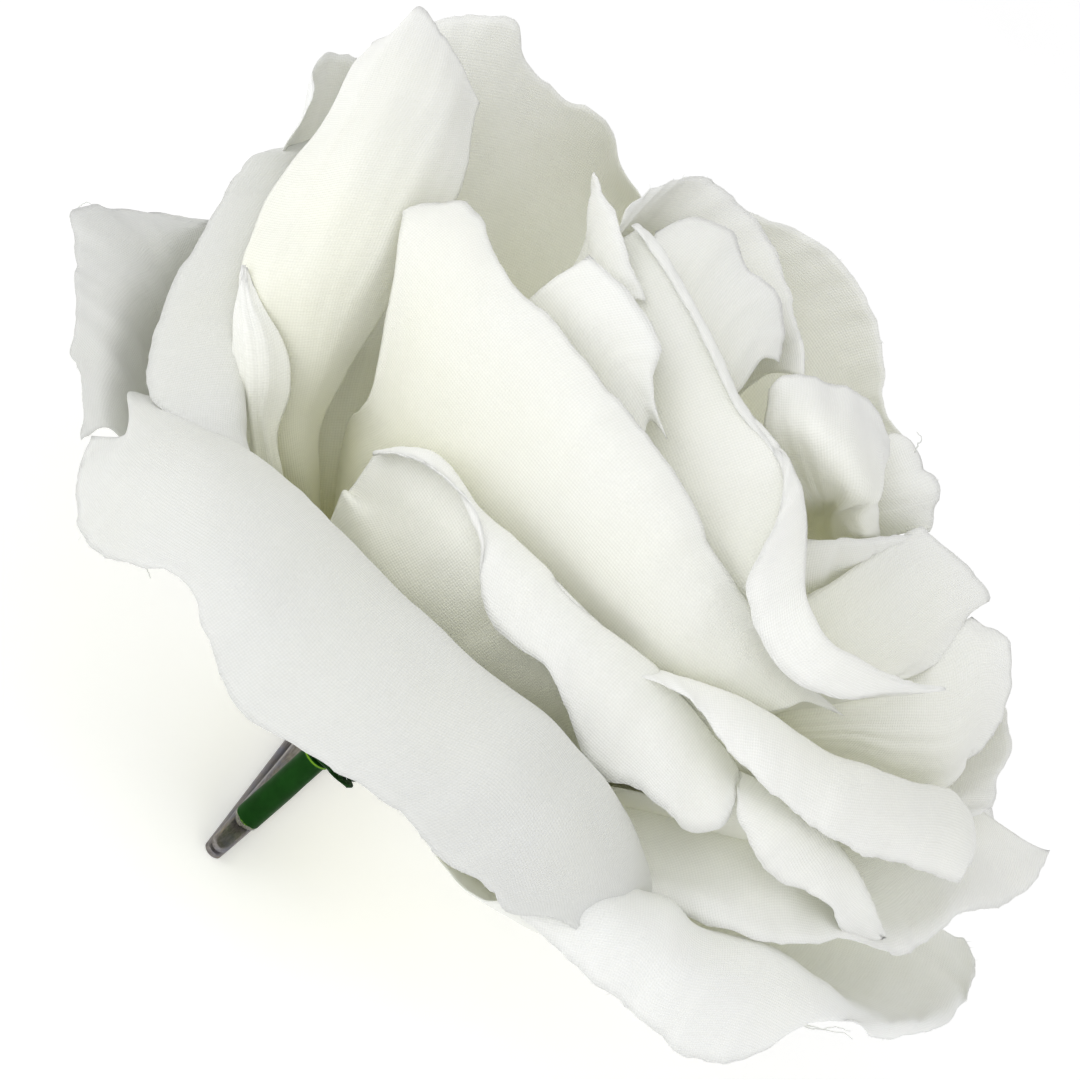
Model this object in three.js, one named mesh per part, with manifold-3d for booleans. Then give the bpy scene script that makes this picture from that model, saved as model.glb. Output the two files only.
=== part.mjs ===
// Flower hair clip: a large open fabric rose on a short plastic stem, hot-glued across a spring alligator clip.
// Millimetres. +Z is the flower's axis, face up. The clip lies along Y at the stem's end, tip towards -Y, thumb levers
// towards +Y. The origin is on the flat underside of the hair-side jaw, below the flower's axis.
import * as THREE from "three";
import Module from "manifold-3d";

// ---------- driving dimensions ----------
const SHEET = 0.6; // clip sheet metal
const TIP_Y = -4.7; // clip nose
const TIP_HALF_W = 1.1;
const JAW_HALF_W = 2.7; // clip half width at the pivot
const PIVOT_Y = 31;
const PIVOT_Z = 4.0;
const LEVER_END_Y = 50;
const PIN_R = 0.8;
const PIN_HOLE_R = 0.88;
const RIVET_R = 1.3;
const LOWER_EAR_X = 2.1; // inner face of the hair-side jaw's ears
const UPPER_EAR_X = 1.3; // inner face of the flower-side jaw's ears
const EAR_R = 1.8;
const SPRING_WIRE_R = 0.25;
const SPRING_R = 1.35;
const SPRING_TURNS = 3;
const SPRING_PITCH = 0.55;
const STEM_R = 1.575;
const STEM_BORE_R = 0.95;
const STEM_WIRE_R = 0.6;
const STEM_LOW_Z = 3.85;
const STEM_TOP_Z = 16.1;
const CALYX_LOW_Z = 16.4;
const CORE_LOW_Z = 19.3;
const PETAL_T = 0.6; // petal shell, a stand-in for 0.25 mm cloth
const PETAL_GAP = 0.35; // clearance kept between neighbouring petals

// underside of the flower-side jaw, from the nose to the thumb end: [y, z]
const UPPER_UNDERSIDE = [
  [TIP_Y, 1.0], [-3, 1.45], [0, 2.35], [3, 3.4], [6, 4.35], [9, 5.15], [12, 5.75], [16, 6.15], [22, 6.3], [28, 6.35],
  [33, 6.6], [36, 7.4], [40, 9.0], [45, 11.0], [LEVER_END_Y, 13.0],
];

const wasm = await Module();
wasm.setup();

const part = new THREE.Group();
part.name = "flower_hair_clip";

const finish = {
  cloth: { color: 0xf2f2ea, roughness: 0.85, metalness: 0 },
  green: { color: 0x1d5a22, roughness: 0.45, metalness: 0 },
  dark_green: { color: 0x123a18, roughness: 0.5, metalness: 0 },
  foam: { color: 0xdfe3c8, roughness: 0.9, metalness: 0 },
  gunmetal: { color: 0x5f5a57, roughness: 0.3, metalness: 0.9 },
  steel: { color: 0x9a9a9c, roughness: 0.35, metalness: 0.9 },
  glue: { color: 0xe8e2c6, roughness: 0.3, metalness: 0 },
};

function addMesh(name, geometry, kind) {
  const mesh = new THREE.Mesh(geometry, new THREE.MeshStandardMaterial(finish[kind]));
  mesh.name = name;
  part.add(mesh);
  return mesh;
}

// ---------- solids ----------
function weld(geometry) {
  const g = geometry.index ? geometry.toNonIndexed() : geometry;
  const p = g.getAttribute("position");
  const seen = new Map(), verts = [], tris = [];
  for (let i = 0; i < p.count; i++) {
    const v = [p.getX(i), p.getY(i), p.getZ(i)];
    const key = v.map((c) => Math.round(c * 1e4)).join();
    if (!seen.has(key)) { seen.set(key, verts.length / 3); verts.push(...v); }
    tris.push(seen.get(key));
  }
  const kept = [];
  for (let i = 0; i < tris.length; i += 3)
    if (tris[i] !== tris[i + 1] && tris[i + 1] !== tris[i + 2] && tris[i] !== tris[i + 2]) kept.push(tris[i], tris[i + 1], tris[i + 2]);
  return { verts, tris: kept };
}
function solid(geometry) {
  const { verts, tris } = weld(geometry);
  return new wasm.Manifold(new wasm.Mesh({ numProp: 3, vertProperties: new Float32Array(verts), triVerts: new Uint32Array(tris) }));
}
function geometryOf(manifold) {
  const m = manifold.getMesh(), n = m.numProp;
  const v = new Float32Array(m.numVert * 3);
  for (let i = 0; i < m.numVert; i++) v.set(m.vertProperties.subarray(i * n, i * n + 3), i * 3);
  const g = new THREE.BufferGeometry();
  g.setAttribute("position", new THREE.BufferAttribute(v, 3));
  g.setIndex(new THREE.BufferAttribute(new Uint32Array(m.triVerts), 1));
  g.computeVertexNormals();
  return g;
}
const largest = (manifold) => manifold.decompose().sort((a, b) => b.volume() - a.volume())[0];

// a cylinder along X
function rodX(r, x0, x1, y, z, segments = 24) {
  const g = new THREE.CylinderGeometry(r, r, x1 - x0, segments);
  g.rotateZ(Math.PI / 2);
  g.translate((x0 + x1) / 2, y, z);
  return solid(g);
}
function box(x0, x1, y0, y1, z0, z1) {
  const g = new THREE.BoxGeometry(x1 - x0, y1 - y0, z1 - z0);
  g.translate((x0 + x1) / 2, (y0 + y1) / 2, (z0 + z1) / 2);
  return solid(g);
}
// the jaw's plan outline, extruded along Z and used to trim the bent sheets
function planOutline(grow = 0) {
  const s = new THREE.Shape();
  const t = TIP_HALF_W + grow, w = JAW_HALF_W + grow, y0 = TIP_Y - grow, y1 = LEVER_END_Y + grow;
  s.moveTo(-w, 24);
  s.lineTo(-w, 36);
  s.lineTo(-w - 0.35, 41);
  s.lineTo(-w - 0.35, y1 - 3);
  s.absarc(0, y1 - 3, w + 0.35, Math.PI, 0, true);
  s.lineTo(w + 0.35, 41);
  s.lineTo(w, 36);
  s.lineTo(w, 24);
  s.lineTo(t, y0 + t);
  s.absarc(0, y0 + t, t, 0, Math.PI, true);
  s.lineTo(-w, 24);
  return s;
}
function plan(z0, z1, grow = 0) {
  const g = new THREE.ExtrudeGeometry(planOutline(grow), { depth: z1 - z0, bevelEnabled: false, curveSegments: 8 });
  g.translate(0, 0, z0);
  return solid(g);
}
// a strip in side view: the underside polyline, thickened upwards, extruded over the clip's whole width
function strip(underside, z0, z1) {
  const s = new THREE.Shape();
  underside.forEach(([y, z], i) => (i ? s.lineTo(y, z + z0) : s.moveTo(y, z + z0)));
  [...underside].reverse().forEach(([y, z]) => s.lineTo(y, z + z1));
  const g = new THREE.ExtrudeGeometry(s, { depth: 8, bevelEnabled: false });
  g.translate(0, 0, -4);
  // shape x -> Y, shape y -> Z, extrusion -> X
  g.applyMatrix4(new THREE.Matrix4().set(0, 0, 1, 0, 1, 0, 0, 0, 0, 1, 0, 0, 0, 0, 0, 1));
  return solid(g);
}
function ear(x0, zRoot) {
  const disc = rodX(EAR_R, x0, x0 + SHEET, PIVOT_Y, PIVOT_Z, 24);
  const z0 = Math.min(zRoot, PIVOT_Z), z1 = Math.max(zRoot, PIVOT_Z);
  return disc.add(box(x0, x0 + SHEET, PIVOT_Y - EAR_R, PIVOT_Y + EAR_R, z0, z1));
}
const pinHole = rodX(PIN_HOLE_R, -4, 4, PIVOT_Y, PIVOT_Z, 24);

// hair-side jaw: a flat blade with two upright ears
let lower = plan(0, SHEET);
for (const x0 of [LOWER_EAR_X, -LOWER_EAR_X - SHEET]) lower = lower.add(ear(x0, 0.1));
lower = lower.subtract(pinHole);
addMesh("clip_hair_side_jaw", geometryOf(lower), "gunmetal");

// flower-side jaw: an arched channel, its sides turned down, with two ears inside the other jaw's ears
const innerPlan = plan(-1, 16, -SHEET);
let upper = strip(UPPER_UNDERSIDE, 0, SHEET).intersect(plan(-1, 16));
const flangeSpan = UPPER_UNDERSIDE.filter(([y]) => y >= 0 && y <= 28);
upper = upper.add(strip(flangeSpan, -0.7, 0.1).intersect(plan(-1, 16)).subtract(innerPlan));
const thumbSpan = UPPER_UNDERSIDE.filter(([y]) => y >= 36);
upper = upper.add(strip(thumbSpan, -0.5, 0.1).intersect(plan(-1, 16)).subtract(innerPlan));
for (const x0 of [UPPER_EAR_X, -UPPER_EAR_X - SHEET]) upper = upper.add(ear(x0, 6.5));
upper = upper.subtract(pinHole);
addMesh("clip_flower_side_jaw", geometryOf(upper), "gunmetal");

// pivot pin with two rivet heads
const pin = rodX(PIN_R, -3.2, 3.2, PIVOT_Y, PIVOT_Z)
  .add(rodX(RIVET_R, 2.9, 3.4, PIVOT_Y, PIVOT_Z))
  .add(rodX(RIVET_R, -3.4, -2.9, PIVOT_Y, PIVOT_Z));
addMesh("clip_pivot_pin", geometryOf(pin), "steel");

// a round wire along a path, closed at both ends
function wireGeometry(points, r, sides) {
  const curve = new THREE.CatmullRomCurve3(points, false, "centripetal");
  const steps = points.length - 1;
  const frames = curve.computeFrenetFrames(steps, false);
  const pos = [], idx = [];
  for (let i = 0; i <= steps; i++) {
    const c = curve.getPointAt(i / steps);
    for (let j = 0; j < sides; j++) {
      const a = (j / sides) * 2 * Math.PI;
      pos.push(...c.clone().addScaledVector(frames.normals[i], r * Math.cos(a)).addScaledVector(frames.binormals[i], r * Math.sin(a)).toArray());
    }
  }
  for (let i = 0; i < steps; i++)
    for (let j = 0; j < sides; j++) {
      const a = i * sides + j, b = i * sides + ((j + 1) % sides), c = a + sides, d = b + sides;
      idx.push(a, b, d, a, d, c);
    }
  for (let j = 1; j < sides - 1; j++) {
    idx.push(0, j + 1, j);
    const o = steps * sides;
    idx.push(o, o + j, o + j + 1);
  }
  const g = new THREE.BufferGeometry();
  g.setAttribute("position", new THREE.Float32BufferAttribute(pos, 3));
  g.setIndex(idx);
  return g;
}
// torsion spring: a coil round the pin, its two legs holding the thumb levers apart
const coil = [];
const half = (SPRING_TURNS * SPRING_PITCH) / 2;
for (const t of [0, 0.25, 0.5, 0.75]) coil.push(new THREE.Vector3(-half, PIVOT_Y + 9 - 9 * t, 1.25 + 1.4 * t * t));
const coilSteps = SPRING_TURNS * 14 - 5;
for (let i = 0; i <= coilSteps; i++) {
  const a = -Math.PI / 2 - (i / coilSteps) * (SPRING_TURNS * 2 * Math.PI - Math.PI);
  coil.push(new THREE.Vector3(-half + (i / coilSteps) * 2 * half, PIVOT_Y + SPRING_R * Math.cos(a), PIVOT_Z + SPRING_R * Math.sin(a)));
}
for (const t of [0.25, 0.5, 0.75, 1]) coil.push(new THREE.Vector3(half, PIVOT_Y + 9 * t, PIVOT_Z + SPRING_R + 2.85 * t * t));
addMesh("clip_torsion_spring", wireGeometry(coil, SPRING_WIRE_R, 6), "steel");

// ---------- stem, calyx and core ----------
function lathe(points, segments) {
  const g = new THREE.LatheGeometry(points.map(([r, z]) => new THREE.Vector2(r, z)), segments);
  g.rotateX(Math.PI / 2);
  return solid(g);
}
function turned(points, segments) {
  const s = lathe(points, segments);
  return s.volume() < 0 ? lathe([...points].reverse(), segments) : s;
}
const stem = turned([
  [STEM_BORE_R, STEM_LOW_Z], [STEM_R - 0.3, STEM_LOW_Z], [STEM_R, STEM_LOW_Z + 0.35], [STEM_R, STEM_TOP_Z - 0.5],
  [STEM_R + 0.25, STEM_TOP_Z - 0.2], [STEM_R + 0.25, STEM_TOP_Z], [STEM_BORE_R, STEM_TOP_Z], [STEM_BORE_R, STEM_LOW_Z],
], 28);
addMesh("stem_tube", geometryOf(stem), "green");
const wire = turned([[0, STEM_LOW_Z + 0.5], [STEM_WIRE_R, STEM_LOW_Z + 0.5], [STEM_WIRE_R, 24], [0, 24]], 12);
addMesh("stem_wire", geometryOf(wire), "steel");

let calyx = turned([
  [STEM_BORE_R, CALYX_LOW_Z], [2.1, CALYX_LOW_Z], [2.35, CALYX_LOW_Z + 0.5], [3.6, CALYX_LOW_Z + 1.1], [5.2, 18.3], [5.5, 18.75],
  [5.2, 18.95], [STEM_BORE_R, 18.3], [STEM_BORE_R, CALYX_LOW_Z],
], 20);
const sepalNets = [];
// five leaf-like sepals under the outer petals
const SEPAL_LENGTH = 6.5;
for (let k = 0; k < 5; k++) {
  const a = ((-52 + 72 * k) * Math.PI) / 180;
  const rows = [];
  for (let i = 0; i <= 4; i++) {
    const t = i / 4, r = 3.6 + SEPAL_LENGTH * t, z = 18.05 + 0.35 * (r - 3.6) - 0.01 * (r - 3.6) ** 2;
    const w = Math.max(0.12, 1.9 * (1 - t) ** 0.6 * (0.75 + 0.9 * t));
    const row = [];
    for (let j = -1; j <= 1; j++) {
      const y = w * j, x = r;
      row.push([x * Math.cos(a) - y * Math.sin(a), x * Math.sin(a) + y * Math.cos(a), z - 0.08 * y * y]);
    }
    rows.push(row);
  }
  sepalNets.push(rows);
  calyx = calyx.add(shell(rows, 0.45, 0));
}
addMesh("calyx", geometryOf(calyx), "dark_green");

const core = turned([
  [STEM_BORE_R, CORE_LOW_Z], [4.9, CORE_LOW_Z], [5.2, 20.4], [4.8, 24], [4.1, 26], [3.5, 28], [2.3, 31], [1.5, 32.4], [0, 33.2],
  [0, 25], [STEM_BORE_R, 25], [STEM_BORE_R, CORE_LOW_Z],
], 24);
addMesh("bud_core", geometryOf(core), "foam");

// hot-melt bead between the stem's end and the flower-side jaw
const bead = new THREE.SphereGeometry(1, 20, 12);
bead.scale(2.2, 2.4, 1.15);
bead.translate(0, 0.2, 3.75);
const stemRoom = turned([[0, STEM_LOW_Z - 0.25], [STEM_R + 0.25, STEM_LOW_Z - 0.25], [STEM_R + 0.25, 9], [0, 9]], 28);
const glue = solid(bead).subtract(stemRoom).subtract(strip(UPPER_UNDERSIDE, -3, SHEET + 0.25));
addMesh("glue_bead", geometryOf(largest(glue)), "glue");

// ---------- petals ----------
// Each petal is a cloth sheet given by seven rows of seven points, from its root on the core to its free edge.
const PETALS = {
  // outer ring, broad petal turned down over the front
  petal_outer_front: [
    [[-3.0, -5.8, 20.5], [-2.2, -6.1, 20.5], [-1.4, -6.3, 20.5], [-0.6, -6.5, 20.5], [0.3, -6.5, 20.5], [1.1, -6.4, 20.5], [2.0, -6.2, 20.5]],
    [[-9.9, -13.5, 26.9], [-7.2, -15.2, 26.9], [-4.2, -16.2, 26.9], [-1.0, -16.7, 26.9], [2.2, -16.6, 26.9], [5.3, -15.9, 26.9], [8.2, -14.6, 26.9]],
    [[-18.0, -19.7, 34.1], [-13.3, -23.1, 34.1], [-8.0, -25.4, 34.1], [-2.3, -26.6, 34.1], [3.5, -26.4, 34.1], [9.1, -25.1, 34.1], [14.3, -22.5, 34.1]],
    [[-24.7, -24.5, 43.9], [-18.4, -29.6, 43.4], [-11.3, -33.1, 43.0], [-3.5, -34.8, 42.9], [4.4, -34.7, 42.7], [12.1, -32.8, 43.0], [19.4, -29.2, 43.6]],
    [[-33.7, -25.7, 47.9], [-25.7, -32.5, 51.3], [-15.5, -37.3, 53.2], [-4.3, -40.1, 54.3], [7.3, -39.7, 55.2], [18.1, -36.3, 53.5], [26.9, -30.8, 49.9]],
    [[-41.5, -28.1, 44.9], [-32.7, -38.5, 52.5], [-20.1, -45.7, 57.8], [-5.0, -49.0, 59.6], [10.4, -48.5, 61.8], [24.0, -42.4, 57.7], [32.8, -32.0, 50.3]],
    [[-40.6, -34.3, 41.9], [-31.3, -46.7, 40.3], [-21.1, -55.0, 49.5], [-5.9, -59.7, 49.3], [9.9, -58.1, 52.0], [23.6, -49.9, 50.8], [32.7, -36.5, 51.8]],
  ],
  // outer ring, its near half rolled under, its far half cupped
  petal_outer_front_right: [
    [[3.7, -5.7, 20.3], [4.4, -5.2, 20.3], [5.0, -4.6, 20.3], [5.6, -3.9, 20.3], [6.0, -3.1, 20.3], [6.4, -2.3, 20.3], [6.6, -1.5, 20.3]],
    [[8.9, -13.3, 26.5], [10.9, -11.7, 26.5], [12.6, -9.8, 26.5], [14.0, -7.7, 26.5], [15.1, -5.3, 26.5], [15.7, -2.9, 26.5], [16.0, -0.3, 26.5]],
    [[13.4, -22.3, 31.3], [17.2, -19.5, 31.3], [20.4, -16.1, 31.3], [23.0, -12.1, 31.3], [24.8, -7.8, 31.3], [25.8, -3.2, 31.3], [25.9, 1.6, 31.3]],
    [[17.3, -31.7, 36.2], [23.2, -27.7, 36.2], [28.1, -22.5, 36.1], [32.0, -16.5, 36.2], [34.5, -9.8, 36.3], [35.7, -2.8, 36.3], [35.6, 4.3, 36.3]],
    [[20.8, -39.7, 42.2], [28.8, -34.5, 42.4], [35.5, -27.8, 42.4], [40.7, -19.9, 42.2], [44.2, -11.1, 42.0], [45.6, -1.7, 42.0], [44.9, 7.8, 42.0]],
    [[23.8, -40.1, 52.0], [33.4, -34.2, 53.8], [42.1, -27.3, 54.8], [50.2, -19.5, 52.0], [55.8, -10.3, 48.8], [58.2, 0.8, 47.8], [56.0, 11.7, 48.8]],
    [[21.7, -47.0, 47.9], [35.3, -43.6, 47.2], [47.3, -36.5, 45.8], [52.4, -25.6, 52.1], [60.0, -13.9, 49.8], [64.9, -1.1, 52.3], [61.8, 12.3, 51.9]],
  ],
  // outer ring, drooping to the left
  petal_outer_far_left: [
    [[-6.9, 1.0, 19.9], [-7.0, 0.1, 19.9], [-7.0, -0.8, 19.9], [-6.8, -1.6, 19.9], [-6.5, -2.5, 19.9], [-6.2, -3.3, 19.9], [-5.7, -4.1, 19.9]],
    [[-15.2, 2.2, 24.7], [-15.4, 0.2, 24.7], [-15.3, -1.8, 24.7], [-14.9, -3.9, 24.7], [-14.3, -5.8, 24.7], [-13.4, -7.6, 24.7], [-12.2, -9.3, 24.7]],
    [[-24.0, 4.3, 28.7], [-24.2, 0.9, 28.8], [-24.0, -2.4, 28.9], [-23.4, -5.7, 28.9], [-22.4, -8.9, 28.9], [-21.0, -11.9, 29.0], [-19.2, -14.7, 29.1]],
    [[-32.9, 6.8, 32.2], [-33.2, 2.0, 32.4], [-33.0, -2.7, 32.5], [-32.3, -7.4, 32.6], [-30.9, -11.9, 32.7], [-28.9, -16.2, 32.8], [-26.4, -20.2, 32.9]],
    [[-40.5, 5.7, 38.6], [-41.1, -0.2, 38.5], [-40.6, -5.7, 38.3], [-40.0, -11.1, 38.0], [-38.3, -16.2, 37.7], [-35.9, -20.9, 37.4], [-32.9, -25.4, 37.2]],
    [[-47.1, 0.6, 48.5], [-47.8, -6.3, 47.9], [-46.3, -12.2, 47.0], [-46.3, -17.4, 45.7], [-44.3, -22.1, 44.4], [-41.9, -26.5, 43.3], [-39.0, -30.7, 42.4]],
    [[-49.5, -0.8, 51.2], [-55.4, -2.1, 46.0], [-59.7, -7.6, 43.3], [-55.2, -14.3, 42.8], [-51.1, -21.1, 42.8], [-46.4, -27.1, 41.7], [-41.2, -32.7, 39.7]],
  ],
  // outer ring, back right
  petal_outer_back_right: [
    [[7.5, -0.1, 19.6], [7.4, 0.9, 19.6], [7.3, 1.9, 19.6], [6.9, 2.9, 19.6], [6.5, 3.8, 19.6], [5.9, 4.6, 19.6], [5.3, 5.3, 19.6]],
    [[18.4, -0.3, 23.6], [18.3, 2.4, 23.6], [17.8, 5.0, 23.6], [16.9, 7.5, 23.6], [15.6, 9.9, 23.6], [14.0, 12.0, 23.6], [12.1, 13.9, 23.6]],
    [[28.3, -0.2, 29.1], [28.0, 3.9, 29.1], [27.2, 7.9, 29.1], [25.8, 11.8, 29.1], [23.8, 15.4, 29.1], [21.3, 18.6, 29.1], [18.4, 21.6, 29.1]],
    [[36.7, 0.5, 36.9], [36.2, 5.7, 36.9], [35.1, 10.7, 36.9], [33.2, 15.6, 36.9], [30.7, 20.2, 36.9], [27.5, 24.3, 36.9], [23.8, 27.9, 36.9]],
    [[44.0, 1.2, 45.9], [43.3, 7.3, 45.9], [41.9, 13.3, 45.9], [39.7, 19.0, 46.0], [36.6, 24.3, 46.0], [32.9, 29.2, 46.0], [28.5, 33.5, 46.0]],
    [[50.8, 2.6, 54.8], [50.0, 9.5, 54.8], [48.4, 16.1, 54.8], [45.8, 22.5, 54.7], [42.4, 28.4, 54.7], [38.2, 33.8, 54.7], [33.3, 38.7, 54.7]],
    [[58.9, 9.4, 58.2], [59.2, 16.3, 58.8], [57.5, 22.7, 58.2], [55.0, 28.9, 56.9], [51.6, 34.8, 56.9], [47.5, 40.2, 57.0], [42.9, 45.2, 56.6]],
  ],
  // outer ring, back
  petal_outer_back: [
    [[2.3, 7.2, 19.6], [1.3, 7.4, 19.6], [0.3, 7.5, 19.6], [-0.7, 7.5, 19.6], [-1.6, 7.3, 19.6], [-2.6, 7.0, 19.6], [-3.5, 6.7, 19.6]],
    [[7.1, 16.9, 24.0], [4.4, 17.8, 24.0], [1.6, 18.3, 24.0], [-1.2, 18.3, 24.0], [-4.0, 17.9, 24.0], [-6.8, 17.1, 24.0], [-9.3, 15.8, 24.0]],
    [[11.8, 25.5, 30.0], [7.4, 27.1, 30.0], [2.9, 28.0, 30.0], [-1.7, 28.1, 30.0], [-6.3, 27.4, 30.0], [-10.6, 26.0, 30.0], [-14.8, 23.9, 30.0]],
    [[16.2, 32.3, 38.3], [10.4, 34.6, 38.3], [4.3, 35.9, 38.3], [-2.0, 36.1, 38.3], [-8.2, 35.2, 38.3], [-14.1, 33.3, 38.3], [-19.6, 30.3, 38.3]],
    [[19.9, 38.2, 47.8], [12.8, 41.1, 47.8], [5.4, 42.7, 47.8], [-2.3, 43.0, 47.8], [-9.8, 41.9, 47.8], [-17.1, 39.5, 47.8], [-23.8, 35.9, 47.8]],
    [[23.1, 45.0, 55.3], [14.9, 48.3, 55.3], [6.3, 50.2, 55.3], [-2.5, 50.5, 55.3], [-11.2, 49.3, 55.3], [-19.6, 46.6, 55.3], [-27.4, 42.5, 55.3]],
    [[25.8, 54.2, 49.1], [16.9, 57.6, 49.1], [7.5, 59.5, 49.1], [-2.1, 60.0, 49.1], [-11.6, 58.9, 49.1], [-20.8, 56.3, 49.1], [-29.5, 52.2, 49.1]],
  ],
  // outer ring, back left
  petal_outer_back_left: [
    [[-3.5, 6.7, 19.6], [-4.3, 6.1, 19.6], [-5.1, 5.5, 19.6], [-5.7, 4.8, 19.6], [-6.3, 4.0, 19.6], [-6.8, 3.2, 19.6], [-7.2, 2.3, 19.6]],
    [[-7.9, 16.4, 23.4], [-10.2, 15.1, 23.4], [-12.2, 13.5, 23.4], [-14.0, 11.6, 23.4], [-15.5, 9.5, 23.4], [-16.7, 7.2, 23.4], [-17.5, 4.8, 23.4]],
    [[-12.0, 25.1, 28.7], [-15.5, 23.1, 28.7], [-18.7, 20.6, 28.7], [-21.5, 17.7, 28.7], [-23.8, 14.4, 28.7], [-25.7, 10.8, 28.7], [-27.0, 6.9, 28.7]],
    [[-15.3, 32.8, 36.3], [-20.1, 30.0, 36.3], [-24.5, 26.5, 36.3], [-28.4, 22.4, 36.3], [-31.5, 17.8, 36.3], [-33.9, 12.7, 36.3], [-35.5, 7.3, 36.3]],
    [[-18.5, 38.8, 45.1], [-24.2, 35.6, 45.1], [-29.2, 31.5, 45.1], [-33.7, 26.8, 45.1], [-37.3, 21.4, 45.1], [-40.1, 15.5, 45.1], [-42.0, 9.3, 45.1]],
    [[-22.3, 42.9, 54.1], [-27.6, 39.7, 54.1], [-32.4, 35.9, 54.1], [-36.6, 31.5, 54.1], [-40.3, 26.6, 54.1], [-43.4, 21.3, 54.1], [-45.7, 15.7, 54.1]],
    [[-26.2, 48.3, 46.1], [-31.0, 45.4, 46.1], [-35.5, 42.0, 46.1], [-39.6, 38.2, 46.1], [-43.2, 34.0, 46.1], [-46.5, 29.4, 46.1], [-49.2, 24.5, 46.1]],
  ],
  // second ring, left
  petal_second_left: [
    [[-6.8, -1.6, 21.1], [-6.6, -2.2, 21.1], [-6.5, -2.7, 21.1], [-6.2, -3.2, 21.1], [-5.9, -3.7, 21.1], [-5.6, -4.2, 21.1], [-5.2, -4.6, 21.1]],
    [[-15.3, -2.2, 26.7], [-14.9, -3.7, 26.7], [-14.5, -5.3, 26.7], [-13.8, -6.8, 26.7], [-13.0, -8.2, 26.7], [-12.1, -9.5, 26.7], [-11.0, -10.7, 26.7]],
    [[-23.4, -2.3, 32.7], [-23.0, -5.0, 32.7], [-22.2, -7.6, 32.7], [-21.2, -10.1, 32.7], [-19.9, -12.5, 32.7], [-18.3, -14.7, 32.7], [-16.5, -16.7, 32.7]],
    [[-31.1, -2.1, 38.7], [-30.6, -5.9, 38.8], [-29.7, -9.6, 38.9], [-28.4, -13.3, 39.1], [-26.5, -16.7, 39.4], [-24.3, -19.8, 39.6], [-21.8, -22.8, 39.7]],
    [[-38.3, -0.9, 46.5], [-37.8, -6.0, 46.5], [-36.6, -11.0, 46.5], [-34.8, -15.8, 46.4], [-32.4, -20.4, 46.4], [-29.3, -24.5, 46.4], [-25.8, -28.2, 46.3]],
    [[-45.5, 2.9, 60.2], [-43.6, -4.0, 60.2], [-42.0, -10.7, 59.9], [-39.3, -16.9, 58.8], [-36.2, -22.5, 56.7], [-32.3, -27.8, 53.8], [-27.0, -32.1, 51.4]],
    [[-48.7, 4.1, 64.1], [-51.0, -4.4, 61.1], [-49.0, -12.7, 57.3], [-46.5, -20.5, 52.7], [-42.3, -27.9, 48.8], [-35.9, -33.9, 50.2], [-27.1, -35.9, 52.6]],
  ],
  // second ring, right, with a long rolled rim
  petal_second_right: [
    [[3.1, -6.0, 21.6], [4.2, -5.4, 21.6], [5.1, -4.5, 21.6], [5.8, -3.6, 21.6], [6.3, -2.5, 21.6], [6.7, -1.3, 21.6], [6.8, -0.1, 21.6]],
    [[6.6, -15.3, 28.4], [9.5, -13.5, 28.2], [11.8, -11.2, 28.0], [13.7, -8.5, 28.0], [14.9, -5.4, 28.0], [15.6, -2.2, 27.9], [15.7, 1.1, 27.7]],
    [[9.5, -21.3, 35.1], [13.9, -19.1, 35.5], [17.8, -15.9, 35.6], [20.9, -12.0, 35.7], [23.2, -7.5, 35.8], [24.5, -2.6, 35.9], [24.4, 2.4, 36.1]],
    [[10.6, -20.8, 42.5], [16.0, -20.3, 45.1], [21.5, -17.4, 46.1], [26.4, -13.4, 46.7], [30.8, -8.8, 47.3], [33.7, -3.2, 48.1], [32.3, 3.0, 49.6]],
    [[12.7, -20.2, 48.8], [19.0, -20.8, 53.4], [26.0, -18.0, 55.4], [32.5, -13.7, 56.3], [38.6, -8.7, 57.4], [42.6, -2.1, 59.1], [41.0, 5.1, 61.6]],
    [[18.9, -26.1, 52.0], [27.1, -24.2, 56.3], [34.7, -19.6, 59.8], [42.2, -13.0, 59.1], [47.8, -5.1, 59.9], [50.8, 4.0, 62.2], [53.6, 12.8, 64.0]],
    [[24.6, -34.6, 51.9], [36.2, -32.1, 53.5], [45.9, -26.4, 57.9], [53.0, -16.9, 58.9], [56.5, -5.5, 59.7], [60.5, 5.6, 61.7], [60.9, 17.4, 64.1]],
  ],
  // second ring, back left
  petal_second_back_left: [
    [[-5.8, 2.7, 22.1], [-6.0, 2.1, 22.1], [-6.2, 1.6, 22.1], [-6.3, 1.1, 22.1], [-6.4, 0.5, 22.1], [-6.4, -0.1, 22.1], [-6.4, -0.6, 22.1]],
    [[-13.9, 6.9, 28.4], [-14.5, 5.5, 28.4], [-14.9, 4.1, 28.4], [-15.3, 2.6, 28.4], [-15.5, 1.1, 28.4], [-15.5, -0.4, 28.4], [-15.4, -1.9, 28.4]],
    [[-21.6, 10.8, 35.2], [-22.5, 8.6, 35.2], [-23.3, 6.3, 35.2], [-23.8, 4.0, 35.2], [-24.1, 1.6, 35.2], [-24.1, -0.8, 35.2], [-23.9, -3.1, 35.2]],
    [[-28.5, 13.4, 43.3], [-29.8, 10.6, 43.1], [-30.8, 7.6, 43.0], [-31.5, 4.6, 43.0], [-31.8, 1.5, 43.1], [-31.9, -1.6, 43.2], [-31.6, -4.8, 43.3]],
    [[-35.6, 16.2, 51.3], [-37.0, 12.8, 51.3], [-38.0, 9.3, 51.2], [-38.8, 5.7, 51.2], [-39.1, 2.0, 51.3], [-39.2, -1.7, 51.3], [-38.9, -5.3, 51.4]],
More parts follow.
